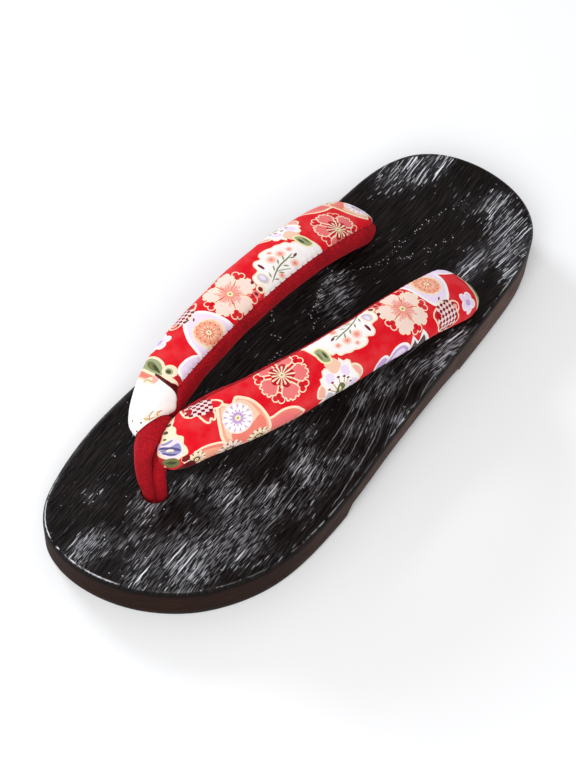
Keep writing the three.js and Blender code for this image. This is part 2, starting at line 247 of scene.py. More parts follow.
# %% Material helpers
class Net:
    """A node tree and its last node: the shader of a material, or the outputs of a group."""

    def __init__(self, tree, end):
        self.tree, self.end = tree, end

    def plug(self, node, values):
        """Joins each wire to its socket, or sets the socket's own value."""
        for key, value in values.items():
            if isinstance(value, bpy.types.NodeSocket):
                self.tree.links.new(value, node.inputs[key])
            else:
                node.inputs[key].default_value = value

    def give(self, values):
        self.plug(self.end, values)

    def add(self, kind, values=None, **settings):
        node = self.tree.nodes.new(kind)
        for key, value in settings.items():
            setattr(node, key, value)
        self.plug(node, values or {})
        return node.outputs

    def maths(self, operation, a, b=0.0, clamp=False):
        return self.add("ShaderNodeMath", {0: a, 1: b}, operation=operation, use_clamp=clamp)[0]

    def fold(self, operation, first, *others):
        for other in others:
            first = self.maths(operation, first, other)
        return first

    def times(self, *factors):
        return self.fold("MULTIPLY", *factors)

    def largest(self, *values):
        return self.fold("MAXIMUM", *values)

    def spread(self, value, low, high, to_low=0.0, to_high=1.0):
        """Takes values from low to high onto to_low to to_high, and holds the ends."""
        return self.add("ShaderNodeMapRange", {"Value": value, "From Min": low, "From Max": high,
                        "To Min": to_low, "To Max": to_high})["Result"]

    def blend(self, share, a, b, kind="MIX"):
        return self.add("ShaderNodeMix", {0: share, 6: a, 7: b}, data_type="RGBA", blend_type=kind)[2]

    def noise(self, place, scale, detail, roughness=0.5, distortion=0.0, flat=False):
        values = {"Vector": place, "Scale": scale, "Detail": detail, "Roughness": roughness,
                  "Distortion": distortion}
        return self.add("ShaderNodeTexNoise", values, noise_dimensions="2D" if flat else "3D")["Fac"]

    def place(self):
        return self.add("ShaderNodeTexCoord")["Object"]

    def attribute(self, name, output="Fac"):
        return self.add("ShaderNodeAttribute", attribute_name=name)[output]

    def parts(self, vector):
        return self.add("ShaderNodeSeparateXYZ", {"Vector": vector})

    def inks(self, colour):
        return self.add("ShaderNodeSeparateColor", {"Color": colour})

    def point(self, x, y, z=0.0):
        return self.add("ShaderNodeCombineXYZ", {"X": x, "Y": y, "Z": z})[0]

    def group(self, net, values):
        return self.add("ShaderNodeGroup", values, node_tree=net.tree)

    def shaded(self, colour, shade):
        """The colour, darkened by a grey."""
        grey = self.add("ShaderNodeCombineColor", {n: shade for n in ("Red", "Green", "Blue")})[0]
        return self.blend(1.0, colour, grey, "MULTIPLY")

    def bump(self, height, strength, distance):
        values = {"Strength": strength, "Distance": distance, "Height": height}
        self.give({"Normal": self.add("ShaderNodeBump", values)["Normal"]})


# %% New materials, groups and colours
def new_material(name):
    made = bpy.data.materials.new(name)
    made.use_nodes = True
    return made, Net(made.node_tree, made.node_tree.nodes["Principled BSDF"])


def new_group(name, inputs, outputs, kind="Shader"):
    """A node group. Each input has a number to start from or the name of its socket's type."""
    tree = bpy.data.node_groups.new(name, kind + "NodeTree")
    for label, value in inputs.items():
        kind = value if isinstance(value, str) else "Float"
        socket = tree.interface.new_socket(label, in_out="INPUT", socket_type="NodeSocket" + kind)
        if kind == "Float":
            socket.default_value = value
    for label, value in outputs.items():
        tree.interface.new_socket(label, in_out="OUTPUT", socket_type="NodeSocket" + value)
    return Net(tree, tree.nodes.new("NodeGroupOutput")), tree.nodes.new("NodeGroupInput").outputs


def linear(red, green, blue):
    """A colour given as on a paint card, 0 to 255, as the light it sends back."""
    return tuple((c / 255 / 12.92 if c <= 10 else ((c / 255 + 0.055) / 1.055) ** 2.4)
                 for c in (red, green, blue)) + (1.0,)


# %% [markdown]
# ## Charred wood
# The sole is burnt and then wire-brushed. The soft summer wood wears away, the hard winter lines
# stay proud, and lacquer on them catches the light as short bright strokes. The mesh carries the
# growth lines as a number in millimetres, "grain", so the strokes follow them, and four more
# numbers: how hard the brush has worked, "burnish", where a growth ring shows as a dotted line,
# "ring", how near the edge is, "edge", and where that edge shines, "glint". A Voronoi texture,
# stretched along the grain, drops one stroke in each of its cells. The sides are browner, because
# the flame reached them less, and they get a material of their own.

# %% Strokes along the grain, a group
strokes, given = new_group("strokes", {"Grain": 0.0, "Along": 0.0, "Pitch": 1.0, "Length": 5.0, "Width": 0.4,
                           "Amount": 0.5}, {"Mask": "Float"})
net = strokes
sides = (("Grain", "Pitch"), ("Along", "Length"))
spot = net.point(*(net.maths("DIVIDE", given[distance], given[step]) for distance, step in sides))
cell = net.add("ShaderNodeTexVoronoi", {"Vector": spot, "Scale": 1.0}, voronoi_dimensions="2D")
away = net.parts(net.add("ShaderNodeVectorMath", {0: spot, 1: cell["Position"]}, operation="SUBTRACT")[0])
luck = net.inks(cell["Color"])
taper = net.maths("SUBTRACT", 1.0, net.maths("POWER", net.times(away["Y"], 2.0), 2.0), True)
half = net.times(taper, given["Width"], net.spread(luck["Blue"], 0.0, 1.0, 0.3, 0.6))
body = net.spread(net.maths("ABSOLUTE", away["X"]), half, net.times(half, 0.5))
shown = net.spread(luck["Red"], given["Amount"], net.maths("SUBTRACT", given["Amount"], 0.06))
weight = net.spread(net.maths("POWER", luck["Green"], 1.5), 0.0, 1.0, 0.2, 1.0)
net.give({"Mask": net.times(body, shown, weight)})
print("group", net.tree.name, "with", len(net.tree.nodes), "nodes")

# %% Charred wood, the upper face
charred_wood, net = new_material("charred_wood")
place = net.place()
across, along = (net.times(net.parts(place)[axis], 1000.0) for axis in ("X", "Y"))
grain, burnish, edge, ring, glint = map(net.attribute, ("grain", "burnish", "edge", "ring", "glint"))
for scale, reach in ((120.0, 0.6), (420.0, 0.22)):
    grain = net.maths("ADD", grain, net.spread(net.noise(place, scale, 1.0), 0.0, 1.0, -reach, reach))


def toe_to_heel(at_toe, at_heel):
    return net.spread(along, 45.0, 75.0, at_toe, at_heel)


def laid(shift, pitch, length, width, amount):
    """Strokes of one size. The shift gives each size a pattern of its own."""
    return net.group(strokes, {"Grain": net.maths("ADD", grain, shift), "Along": along, "Pitch": pitch,
                     "Length": length, "Width": width, "Amount": amount})["Mask"]


def drawn_out(wide, long, detail, roughness):
    """Soft noise drawn out along the grain."""
    stretched = net.point(net.maths("DIVIDE", grain, wide), net.maths("DIVIDE", along, long))
    return net.noise(stretched, 1.0, detail, roughness, flat=True)


often = net.times(net.spread(burnish, 0.12, 1.0, 0.03, 0.62), toe_to_heel(1.0, 0.5))
fine = laid(0.0, 0.68, 3.4, 0.64, often)
often = net.times(net.spread(burnish, 0.3, 0.95, 0.0, 0.82), toe_to_heel(0.4, 1.0))
broad = laid(57.0, 1.35, 15.0, 0.56, often)
on_bend = net.times(net.spread(along, -70.0, -25.0), net.spread(along, 60.0, 35.0),
                    net.spread(across, 6.0, 18.0))
ridge = laid(131.0, 2.6, 48.0, 0.22, net.times(on_bend, 0.75))
wire = net.times(net.spread(drawn_out(0.44, 5.0, 1.5, 0.5), 0.53, 0.63),
                 net.spread(burnish, 0.13, 1.0, 0.0, 0.27), toe_to_heel(1.0, 0.25))
hair = drawn_out(0.62, 13.0, 2.0, 0.6)
broken = net.noise(place, 210.0, 3.0)
rim = net.times(net.spread(edge, 0.15, 0.5), net.spread(edge, 0.98, 0.8))
print("charred wood has", len(net.tree.nodes), "nodes so far")

# %% Its dots, light and colour
specks = net.add("ShaderNodeTexVoronoi", {"Vector": place, "Scale": 950.0})
chance = net.inks(specks["Color"])
wanted = net.fold("ADD", ring, net.spread(burnish, 0.0, 1.0, 0.02, 0.14), net.times(rim, 0.3))
dots = net.times(net.spread(specks["Distance"], 0.28, 0.14),
                 net.spread(chance["Red"], wanted, net.maths("SUBTRACT", wanted, 0.03)),
                 net.spread(chance["Green"], 0.0, 1.0, 0.2, 0.75))
lit = net.maths("MAXIMUM", net.largest(net.times(fine, toe_to_heel(0.62, 0.85)), broad), dots, True)
lit = net.largest(lit, wire, net.times(ridge, net.spread(broken, 0.36, 0.52, 0.1, 0.32)))
lit = net.times(lit, net.spread(edge, 1.0, 0.8))
lit = net.largest(lit, net.times(net.spread(broken, 0.46, 0.58), rim, glint))
tone = net.blend(net.spread(hair, 0.42, 0.66), linear(7, 4, 4), linear(34, 27, 26))
tone = net.blend(net.spread(burnish, 0.3, 1.0, 0.0, 0.22), tone, linear(62, 59, 66))
net.give({"Base Color": net.blend(lit, tone, linear(236, 237, 243)), "Specular IOR Level": 0.09,
          "Roughness": net.maths("SUBTRACT", 0.42, net.times(burnish, 0.12))})
net.bump(net.maths("ADD", hair, net.times(fine, 0.4)), 0.5, 0.0004)
print("charred wood has", len(net.tree.nodes), "nodes")

# %% Charred wood, the sides
charred_side, net = new_material("charred_side")
place = net.place()
flatness = net.maths("ABSOLUTE", net.parts(net.add("ShaderNodeNewGeometry")["Normal"])["Z"])
stretch = net.point(net.spread(flatness, 0.0, 1.0, 0.1, 0.7), 0.1, 1.0)
stretched = net.add("ShaderNodeVectorMath", {0: place, 1: stretch}, operation="MULTIPLY")[0]
lines = net.noise(stretched, 1400.0, 3.0)
brown = net.blend(net.spread(net.parts(place)["Y"], -0.07, 0.03), linear(46, 22, 9), linear(104, 79, 71))
scorch = net.spread(net.noise(place, 45.0, 3.0), 0.35, 0.65, 0.55, 1.0)
tone = net.blend(net.times(net.spread(lines, 0.36, 0.64, 0.4, 1.0), scorch), linear(20, 12, 10), brown)
net.give({"Base Color": net.blend(net.attribute("wall"), linear(12, 9, 9), tone), "Roughness": 0.6,
          "Specular IOR Level": 0.05})
net.bump(lines, 0.5, 0.0003)
print("charred side has", len(net.tree.nodes), "nodes")

# %% [markdown]
# ## The sole
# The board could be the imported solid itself, but its outline has 88 facets and its footbed is
# flat. So it is made again, much finer, from the same table: a triangulated footbed whose ridges
# are really raised, rings round the rounded edge and the wall, an underside that follows the two
# blocks and the recess between them, and three holes with their pockets.

# %% Where the brush worked and how the grain runs
PATCHES = table("across along reach strength",
    (-26, 98, 11, 1.4), (-20, 108, 8, 1.2), (-34, 88, 7, 0.7), (7, 108, 6, 1.3), (18, 104, 9, 1.6),
    (28, 97, 9, 1.9), (24, 86, 9, 1.4), (34, 88, 7, 1.5), (15, 81, 5, 1.2), (20, 73, 6, 1.3),
    (33, 104, 6, 1.4), (0, 100, 8, 0.5), (-10, 31, 8, 1.5), (-17, 36, 5, 0.8), (-3, 22, 6, 0.7),
    (39, 36, 6, 1.7), (38, 47, 5, 1.2), (33, 27, 5, 1.0), (43, 4, 4, 1.3), (31, 12, 4, 0.9), (26, 14, 5, 0.7),
    (27, 0, 4, 0.8), (31, -12, 4, 0.8), (38, -4, 4, 0.7), (40, -36, 7, 1.0), (29, -36, 6, 0.7),
    (22, -28, 6, 0.7), (41, -24, 5, 0.8), (42, -50, 4, 1.2), (37, -71, 8, 1.7), (28, -80, 9, 1.1),
    (20, -92, 9, 0.9), (-1, -84, 6, 1.5), (3, -68, 6, 1.1), (13, -62, 5, 0.9), (20, -64, 6, 0.9),
    (28, -53, 5, 0.9), (33, -60, 5, 0.8), (-7, -112, 7, 1.3), (8, -102, 8, 0.7), (28, -96, 8, 0.8),
    (17, -109, 7, 0.7), (-17, -95, 6, 0.3))
GLINTS = table("across along reach strength",
    (-14, -118, 14, 1.0), (8, -120, 12, 0.6), (-30, -106, 9, 0.4), (43, 4, 6, 0.9), (45, 84, 14, 0.6),
    (46, -50, 12, 0.3))
DRIFT = table("along shift bulge",
    (-125, 12, -3), (-90, 8, -2.8), (-60, 4.4, -0.4), (-45, 2.6, -0.4), (-30, 1.3, -1.8), (-12, 0.2, -5),
    (0, 0, -9.5), (12, 0.5, -14), (24, 1.3, -18), (31, 2, -18.5), (60, 4.3, -17), (78, 4.8, -16),
    (90, 4.2, -14.5), (100, 2.7, -12.5), (112, 0.8, -10), (125, -1.3, -7))
RIDGE_PITCH, RIDGE_FADE = 1.7, 1.5
RINGS = [
    np.array([(-6.7, 13), (-11.5, 18), (-15.4, 24.6), (-17.9, 32.6), (-16.6, 40), (-12.9, 45.4), (-9.3, 51.9),
              (-4.7, 59.3), (0.8, 67.5), (3.7, 75.8), (5, 84)]),
    np.array([(-25.5, 10), (-21, 6), (-17.3, 2.2), (-13, 0), (-10.6, -2), (-9.5, -9), (-4, -16)]),
    np.array([(-8, 56), (-7, 70), (-7, 80), (-5.3, 90.7), (-1, 101)])]
print("brushed patches:", len(PATCHES["reach"]), "growth rings across the grain:", len(RINGS))


# %% How the brushed footbed rises and falls
def piled(rows, x, y, tall, steep):
    """The sum of soft round mounds, one for each row of a table."""
    return sum(strength * np.exp(-steep * ((x - px) ** 2 + ((y - py) / tall) ** 2) / reach**2)
               for px, py, reach, strength in zip(*rows.values()))


def burnished(x, y):
    """How strongly the brush has worked, from 0 to 1."""
    total = 0.09 + 0.09 * ease((x + 8) / 20) * ease((20 - y) / 40) + 0.75 * piled(PATCHES, x, y, 1.4, 1.6)
    return np.clip(total * (0.75 + 0.5 * hills(x / 7, y / 16, 3)), 0, 1)


def glinting(x, y):
    """How brightly the rounded edge shines, from 0 to 1."""
    return np.clip(0.08 + piled(GLINTS, x, y, 1.0, 1.0), 0, 1)


def growth(x, y):
    """The board's growth lines as a number in mm: they lean inward to the middle of the outer side."""
    shift = smooth(DRIFT, "shift", y) + smooth(DRIFT, "bulge", y) * ease((x + 4) / 42)
    return x - shift + 0.8 * hills(x / 20, y / 60, 5) + 0.25 * hills(x / 5, y / 30, 6)


def near_ring(x, y):
    """1 on a growth ring that crosses the grain, falling to 0 at about a millimetre from it."""
    nearest = np.full(np.shape(x), 99.0)
    for ring in RINGS:
        for a, b in zip(ring[:-1], ring[1:]):
            side = b - a
            t = np.clip(((x - a[0]) * side[0] + (y - a[1]) * side[1]) / (side @ side), 0, 1)
            nearest = np.minimum(nearest, np.hypot(x - a[0] - t * side[0], y - a[1] - t * side[1]))
    return np.exp(-nearest**2)


def ridges(x, y):
    """How far the brushed growth lines stand above or below the plain footbed."""
    line = 0.5 * np.sin(2 * math.pi * growth(x, y) / RIDGE_PITCH)
    return line * (0.08 + 0.10 * burnished(x, y))


def top_at(flat):
    return smooth(SOLE, "top", flat[:, 1])


def underside(flat):
    """The floor of the blocks, or the ceiling of the recess between them."""
    x, y = flat.T
    share = (WIDEST - x) / (2 * WIDEST)
    ceiling = np.interp(y, ARCH["along"], ARCH["outer"]) * (1 - share)
    ceiling += np.interp(y, ARCH["along"], ARCH["inner"]) * share
    within = (y > ARCH["along"][0]) & (y < ARCH["along"][-1])
    return np.where(within, np.maximum(TREAD, ceiling), TREAD)


print("brush marks at the toe, middle and heel:", burnished(np.zeros(3), np.array([-100.0, 0, 100])).round(2))

# %% Flat sheets of triangles with holes
def circle(hole, radius):
    a = np.linspace(0, 2 * math.pi, HOLE_SIDES, endpoint=False)
    centre = np.array([HOLES["across"][hole], HOLES["along"][hole]])
    return centre + radius * np.stack([np.cos(a), np.sin(a)], -1)


def pockets(holes, wider=0.0):
    """Circles round the pockets of some holes."""
    return [circle(h, HOLES["pocket"][h] + wider) for h in holes]


def from_hole(hole, x, y):
    return np.hypot(x - HOLES["across"][hole], y - HOLES["along"][hole])


def at_height(flat, z):
    """Points in plan, given their heights."""
    return np.column_stack([flat, np.broadcast_to(z, len(flat))])


def triangles(loops, spots=()):
    """Triangles inside closed loops and through spots. Returns points, faces and each face's loops."""
    points, numbers = [], []
    for loop in loops:
        numbers.append(list(range(len(points), len(points) + len(loop))))
        points.extend(loop)
    points.extend(spots)
    made = delaunay_2d_cdt([Vector(p) for p in points], [], numbers, 1, 1e-5, True)
    return np.array([tuple(v) for v in made[0]]), made[2], made[5]


def sheet(border, openings, spots=()):
    """Triangles between a border and openings, through the given spots. Returns points and faces."""
    points, faces, sources = triangles([border, *openings], spots)
    return points, [f for f, source in zip(faces, sources) if source and max(source) == 0]


def spots_inside(step_x, step_y, inset, radii, rows=None, stagger=0.37, apart=0.3):
    """A grid of spots that keeps away from the outline and the holes, or just the given rows of it."""
    if rows is None:
        rows = np.arange(1 - HALF_LENGTH, HALF_LENGTH - 0.5, step_y)
    x, y = np.meshgrid(np.arange(-WIDEST, WIDEST + 4, step_x), rows)
    x, y = x.ravel(), (y + stagger * step_y * np.round(x / step_x % 2)).ravel()
    y = np.clip(y, 0.6 - HALF_LENGTH, HALF_LENGTH - 0.6)
    reach = smooth(SOLE, "fullness", y) * np.sqrt(1 - (y / HALF_LENGTH) ** 2)
    ring = outline(ALL_ROUND, inset)
    keep = np.abs(x - smooth(SOLE, "middle", y)) < reach - inset
    x, y = x[keep], y[keep]
    near = np.array([np.min((ring[:, 0] - a) ** 2 + (ring[:, 1] - b) ** 2) for a, b in zip(x, y)])
    keep = near > (0.5 * min(step_x, step_y)) ** 2
    for hole, radius in enumerate(radii):
        keep &= from_hole(hole, x, y) > radius + apart
    return np.stack([x[keep], y[keep]], -1)


def weld(parts):
    """Joins (points, faces) parts whose borders share their points."""
    points, faces, seen = [], [], {}
    for part_points, part_faces in parts:
        rename = []
        for p in np.asarray(part_points, np.float32):
            key = tuple(np.round(p, 3))
            if key not in seen:
                seen[key] = len(points)
                points.append(p)
            rename.append(seen[key])
        for f in part_faces:
            g = [rename[i] for i in f]
            if len(set(g)) == len(g):
                faces.append(g)
    used = sorted({i for f in faces for i in f})
    number = {old: new for new, old in enumerate(used)}
    return np.array(points)[used], [[number[i] for i in f] for f in faces]


# %% The parts of the board
def footbed():
    """The upper face, with its ridges, which die out at the mouths of the holes."""
    wide = HOLES["bore"] + MOUTH
    spots = spots_inside(step_x=0.42, step_y=1.7, inset=EDGE + 0.3, radii=wide)
    flat, faces = sheet(outline(ALL_ROUND, EDGE), [circle(h, wide[h]) for h in range(3)], spots)
    x, y = flat.T
    clear = np.min([from_hole(h, x, y) - wide[h] for h in range(3)], axis=0)
    return at_height(flat, top_at(flat) + ridges(x, y) * ease(clear / RIDGE_FADE)), faces


def side():
    """The rounded upper edge, the wall and the small bevel at its foot."""
    raised = ridges(*outline(ALL_ROUND, EDGE).T)
    rings = []
    for turn in np.radians([0, 14, 28, 42, 56, 72, 90]):
        flat = outline(ALL_ROUND, EDGE * (1 - math.sin(turn)))
        level = top_at(flat) - EDGE * (1 - math.cos(turn))
        rings.append(at_height(flat, level + raised * math.cos(turn) ** 2))
    flat = outline(ALL_ROUND)
    upper, lower = top_at(flat) - EDGE, underside(flat) + CHAMFER
    rings += [at_height(flat, upper + (lower - upper) * share) for share in np.linspace(0, 1, 7)[1:]]
    for turn in np.radians([30, 60, 90]):
        flat = outline(ALL_ROUND, CHAMFER * (1 - math.cos(turn)))
        rings.append(at_height(flat, underside(flat) + CHAMFER * (1 - math.sin(turn))))
    return np.concatenate(rings), [f[::-1] for f in grid_faces(len(rings), len(ALL_ROUND))]


def bottom():
    pocket = HOLES["pocket"]
    spots = [spots_inside(step_x=3.0, step_y=3.0, inset=CHAMFER + 1, radii=pocket),
             spots_inside(step_x=0.6, step_y=0.0, inset=CHAMFER + 0.3, radii=pocket, rows=ARCH["along"])]
    flat, faces = sheet(outline(ALL_ROUND, CHAMFER), pockets(range(3)), np.concatenate(spots))
    return at_height(flat, underside(flat)), [f[::-1] for f in faces]


def hole_wall(h):
    """A hole from its rounded mouth down to the pocket for the knot."""
    bore, pocket = HOLES["bore"][h], HOLES["pocket"][h]
    steps = []
    for turn in np.radians([0, 35, 65, 90]):
        flat = circle(h, bore + MOUTH * (1 - math.sin(turn)))
        steps.append(at_height(flat, top_at(flat) - MOUTH * (1 - math.cos(turn))))
    steps.append(at_height(circle(h, bore), 14))
    for radius in (bore, (bore + pocket) / 2, pocket):
        steps.append(at_height(circle(h, radius), POCKET_TOP))
    foot = circle(h, pocket)
    steps.append(at_height(foot, underside(foot)))
    return np.concatenate(steps), grid_faces(len(steps), HOLE_SIDES)


# %% The board
SIDE_FROM = 1.9
points, faces = weld([footbed(), side(), bottom()] + [hole_wall(h) for h in range(3)])
x, y, z = points.T
drop = smooth(SOLE, "top", y) - z
sole = make_piece("burnt_board", points, faces, charred_wood, "charred_wood", ["dai"],
    {"edge": ease((drop - 0.15) / 0.5), "wall": ease((drop - 1.8) / 1.6), "burnish": burnished(x, y),
     "grain": growth(x, y), "ring": near_ring(x, y), "glint": glinting(x, y)})
sole.data.materials.append(charred_side)
for face in sole.data.polygons:
    face.material_index = int(max(drop[i] for i in face.vertices) > SIDE_FROM)
print("faces on the sides and below:", sum(face.material_index for face in sole.data.polygons))

# %% [markdown]
# ## Pile and weave
# Two effects are used by more than one material, so each is a group. Pile is the nap of velvet:
# soft tufts that lie this way and that. Weave is threads crossing over and under.

# %% The two groups
SHADE_AND_HEIGHT = {"Shade": "Float", "Height": "Float"}
pile, given = new_group("pile", {"Place": "Vector", "Tuft": 1800.0, "Stroke": 130.0}, SHADE_AND_HEIGHT)
tufts = pile.noise(given["Place"], given["Tuft"], 2.0)
lying = pile.noise(given["Place"], given["Stroke"], 3.0, distortion=0.6)
mixed = pile.maths("ADD", pile.times(tufts, 0.7), pile.times(lying, 0.3))
height = pile.maths("ADD", tufts, pile.times(lying, 0.8))
pile.give({"Shade": pile.spread(mixed, 0.38, 0.62), "Height": height})

weave, given = new_group("weave", {"Place": "Vector", "Threads": 2600.0}, SHADE_AND_HEIGHT)
net = weave
scaled = net.add("ShaderNodeVectorMath", {0: given["Place"], "Scale": given["Threads"]}, operation="SCALE")[0]
axes = [net.parts(scaled)[axis] for axis in ("X", "Y")]
warp, weft = (net.maths("ABSOLUTE", net.maths("SINE", net.times(axis, math.pi))) for axis in axes)
squares = net.fold("ADD", *(net.maths("FLOOR", axis) for axis in axes))
over = net.maths("ABSOLUTE", net.maths("MODULO", squares, 2.0))
crossing = net.maths("ADD", net.times(warp, over), net.times(weft, net.maths("SUBTRACT", 1.0, over)))
net.give({"Height": crossing, "Shade": net.spread(crossing, 0.0, 1.0, 0.86, 1.04)})

print("groups:", [group.name for group in bpy.data.node_groups])

# %% [markdown]
# ## Red velvet, printed cotton and rubber
# Velvet looks darkest where you look straight into the pile and brightest at its turning edges,
# which is what the shader's sheen does. The cotton takes its inks from a colour attribute of the
# mesh and its threads from the unrolled map of the cloth. The rubber is plain, matt and grainy.

# %% Red velvet
def velvet(name, dark, light):
    made, net = new_material(name)
    nap = net.group(pile, {"Place": net.place(), "Tuft": 1500.0})
    net.give({"Base Color": net.blend(nap["Shade"], dark, light), "Roughness": 0.85,
              "Specular IOR Level": 0.2, "Sheen Weight": 0.35, "Sheen Roughness": 0.4,
              "Sheen Tint": linear(255, 70, 80)})
    net.bump(nap["Height"], 0.5, 0.0003)
    return made


lining_velvet = velvet("lining_velvet", linear(126, 2, 12), linear(186, 12, 30))
thong_velvet = velvet("thong_velvet", linear(140, 4, 16), linear(184, 12, 30))
print("velvets:", lining_velvet.name, thong_velvet.name)

# %% Printed cotton
printed_cotton, net = new_material("printed_cotton")
cloth_map = net.add("ShaderNodeUVMap", uv_map="cloth")["UV"]
threads = net.group(weave, {"Place": cloth_map, "Threads": 2800.0})
clouded = net.spread(net.noise(cloth_map, 160.0, 2.0), 0.4, 0.7, 0.0, 0.04)
worn = net.blend(clouded, net.attribute("ink", "Color"), linear(255, 236, 226))
net.give({"Base Color": net.shaded(worn, threads["Shade"]), "Roughness": 0.75, "Specular IOR Level": 0.06,
          "Sheen Weight": 0.03})
net.bump(threads["Height"], 0.3, 0.0001)

# %% Stitch thread, knot cord and rubber
def spun(name, tone, pitch):
    made, net = new_material(name)
    twist = net.group(weave, {"Place": net.place(), "Threads": pitch})
    net.give({"Base Color": net.shaded(tone, twist["Shade"]), "Roughness": 0.8})
    net.bump(twist["Height"], 0.5, 0.0002)
    return made


stitch_thread = spun("stitch_thread", linear(120, 10, 22), 5000.0)
knot_cord = spun("knot_cord", linear(150, 16, 30), 1600.0)
tread_rubber, net = new_material("tread_rubber")
grit = net.noise(net.place(), 900.0, 3.0)
dusty = net.blend(net.spread(grit, 0.55, 0.75), linear(13, 12, 13), linear(34, 33, 35))
net.give({"Base Color": dusty, "Roughness": 0.8})
net.bump(grit, 0.4, 0.0002)
print("materials:", [m.name for m in bpy.data.materials])

# %% [markdown]
# ## The two treads
# Each block walks on a thin rubber plate with a rim round it and round each pocket. The plate is a
# few rings and two flat sheets of triangles. The ribs between the rims are all alike, so Geometry
# Nodes sweeps one small profile along every row.

# %% Running a Geometry Nodes tree
def grow(name, base_mesh, net, values, material):
    """Runs the tree on a mesh and keeps the result as a plain piece."""
    seed = put(name + "_seed", base_mesh)
    modifier = seed.modifiers.new("grow", "NODES")
    modifier.node_group = net.tree
    for item in net.tree.interface.items_tree:
        if item.in_out == "INPUT" and item.name in values:
            modifier[item.identifier] = values[item.name]
    grown = bpy.data.meshes.new_from_object(seed.evaluated_get(bpy.context.evaluated_depsgraph_get()))
    bpy.data.objects.remove(seed)
    grown.name = name
    grown.materials.clear()
    grown.materials.append(material)
    made = put(name, grown)
    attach(made, "root")
    print(name, len(grown.vertices), "points")


def line_mesh(name, lines):
    """Open lines of points as a mesh of edges."""
    first = np.cumsum([0] + [len(line) for line in lines]).tolist()
    edges = [(k, k + 1) for start, end in zip(first, first[1:]) for k in range(start, end - 1)]
    return new_mesh(name, np.concatenate(lines), [], edges)


# %% A tree that makes ribs
def new_growth(name, values):
    """A Geometry Nodes tree that takes a mesh and some sizes."""
    return new_group(name, {"Geometry": "Geometry", **values}, {"Geometry": "Geometry"}, "Geometry")


def finish_growth(net, shape, material):
    """The tree's last steps: real faces, the material and the output."""
    shape = net.add("GeometryNodeRealizeInstances", {"Geometry": shape})[0]
    shape = net.add("GeometryNodeSetMaterial", {"Geometry": shape, "Material": material})[0]
    net.give({"Geometry": shape})
    print(net.tree.name, "tree has", len(net.tree.nodes), "nodes")


RIB = {"Width": 0.0014, "Height": 0.0005}
rib_net, given = new_growth("ribs", RIB)
net = rib_net
rows = net.add("GeometryNodeMeshToCurve", {"Mesh": given["Geometry"]})[0]
rows = net.add("GeometryNodeSetCurveNormal", {"Curve": rows}, mode="Z_UP")[0]
profile = net.add("GeometryNodeCurvePrimitiveQuadrilateral", {size: given[size] for size in RIB})[0]
ribs = net.add("GeometryNodeCurveToMesh", {"Curve": rows, "Profile Curve": profile, "Fill Caps": True})[0]
finish_growth(net, ribs, tread_rubber)

# %% A plate's outline and the face that walks
RIM, GROOVE, RIB_INSET, RIB_PITCH, RIB_LEVEL, RIB_GAP = 2.3, 0.5, 3.6, 3.0, 0.3, 1.8
POCKET_RIM, POCKET_BEVEL = 1.1, 0.3
PLATE_SIDE = ((0.5, TREAD), (0.5, 0.7), (0.75, 0.25), (1.2, 0.0))
POCKET_SIDE = ((0, TREAD), (0, POCKET_BEVEL), (POCKET_BEVEL, 0))


def tread_ring(inset, end, toe, curve_points=420, end_points=60):
    """The sole's outline on one side of a straight end, closed by that end."""
    limit = math.acos(-end / HALF_LENGTH)
    turns = (-limit, limit) if toe else (limit, 2 * math.pi - limit)
    curve = outline(np.linspace(*turns, curve_points), inset)
    stop = end - inset if toe else end + inset
    curve[:, 1] = np.minimum(curve[:, 1], stop) if toe else np.maximum(curve[:, 1], stop)
    curve[[0, -1], 1] = stop
    across = np.linspace(0, 1, end_points)[1:-1, None]
    return np.concatenate([curve, curve[-1] * (1 - across) + curve[0] * across])


def tread_face(ring, end, toe, holes):
    """The face that walks: a rim round the plate and round each pocket, and the groove between them."""
    collars = pockets(holes, POCKET_RIM) + pockets(holes, POCKET_BEVEL)
    low, faces, sources = triangles([ring, tread_ring(RIM, end, toe)] + collars)
    lands = {True: [], False: []}
    for face, source in zip(faces, sources):
        if source and max(source) < 2 + len(holes):
            lands[max(source) == 1].append(list(face[::-1]))
    count, sunk = len(low), lands[True]
    border = {(a, b) for f in sunk for a, b in zip(f, f[1:] + f[:1])}
    walls = [(a, b, b + count, a + count) for a, b in border if (b, a) not in border]
    points = np.concatenate([at_height(low, 0.0), at_height(low, GROOVE)])
    return points, lands[False] + [[i + count for i in f] for f in sunk] + walls


# %% Both plates and their ribs
def rib_lines(end, toe, holes):
    """Rows across the plate, broken where a pocket lies."""
    lines, loop = [], tread_ring(RIB_INSET, end, toe)
    for y in np.arange(loop[:, 1].min() + RIB_GAP, loop[:, 1].max() - 1, RIB_PITCH):
        crossing = np.where(np.sign(loop[:, 1] - y) != np.sign(np.roll(loop[:, 1], -1) - y))[0]
        spans = [(loop[crossing, 0].min(), loop[crossing, 0].max())]
        for h in holes:
            half = math.sqrt(max((HOLES["pocket"][h] + RIB_GAP) ** 2 - (y - HOLES["along"][h]) ** 2, 0))
            if half:
                left, right = HOLES["across"][h] - half, HOLES["across"][h] + half
                halves = [part for a, b in spans for part in ((a, min(b, left)), (max(a, right), b))]
                spans = [(a, b) for a, b in halves if b - a > 1]
        lines += [np.array([(a, y, RIB_LEVEL), (b, y, RIB_LEVEL)]) for a, b in spans]
    return lines


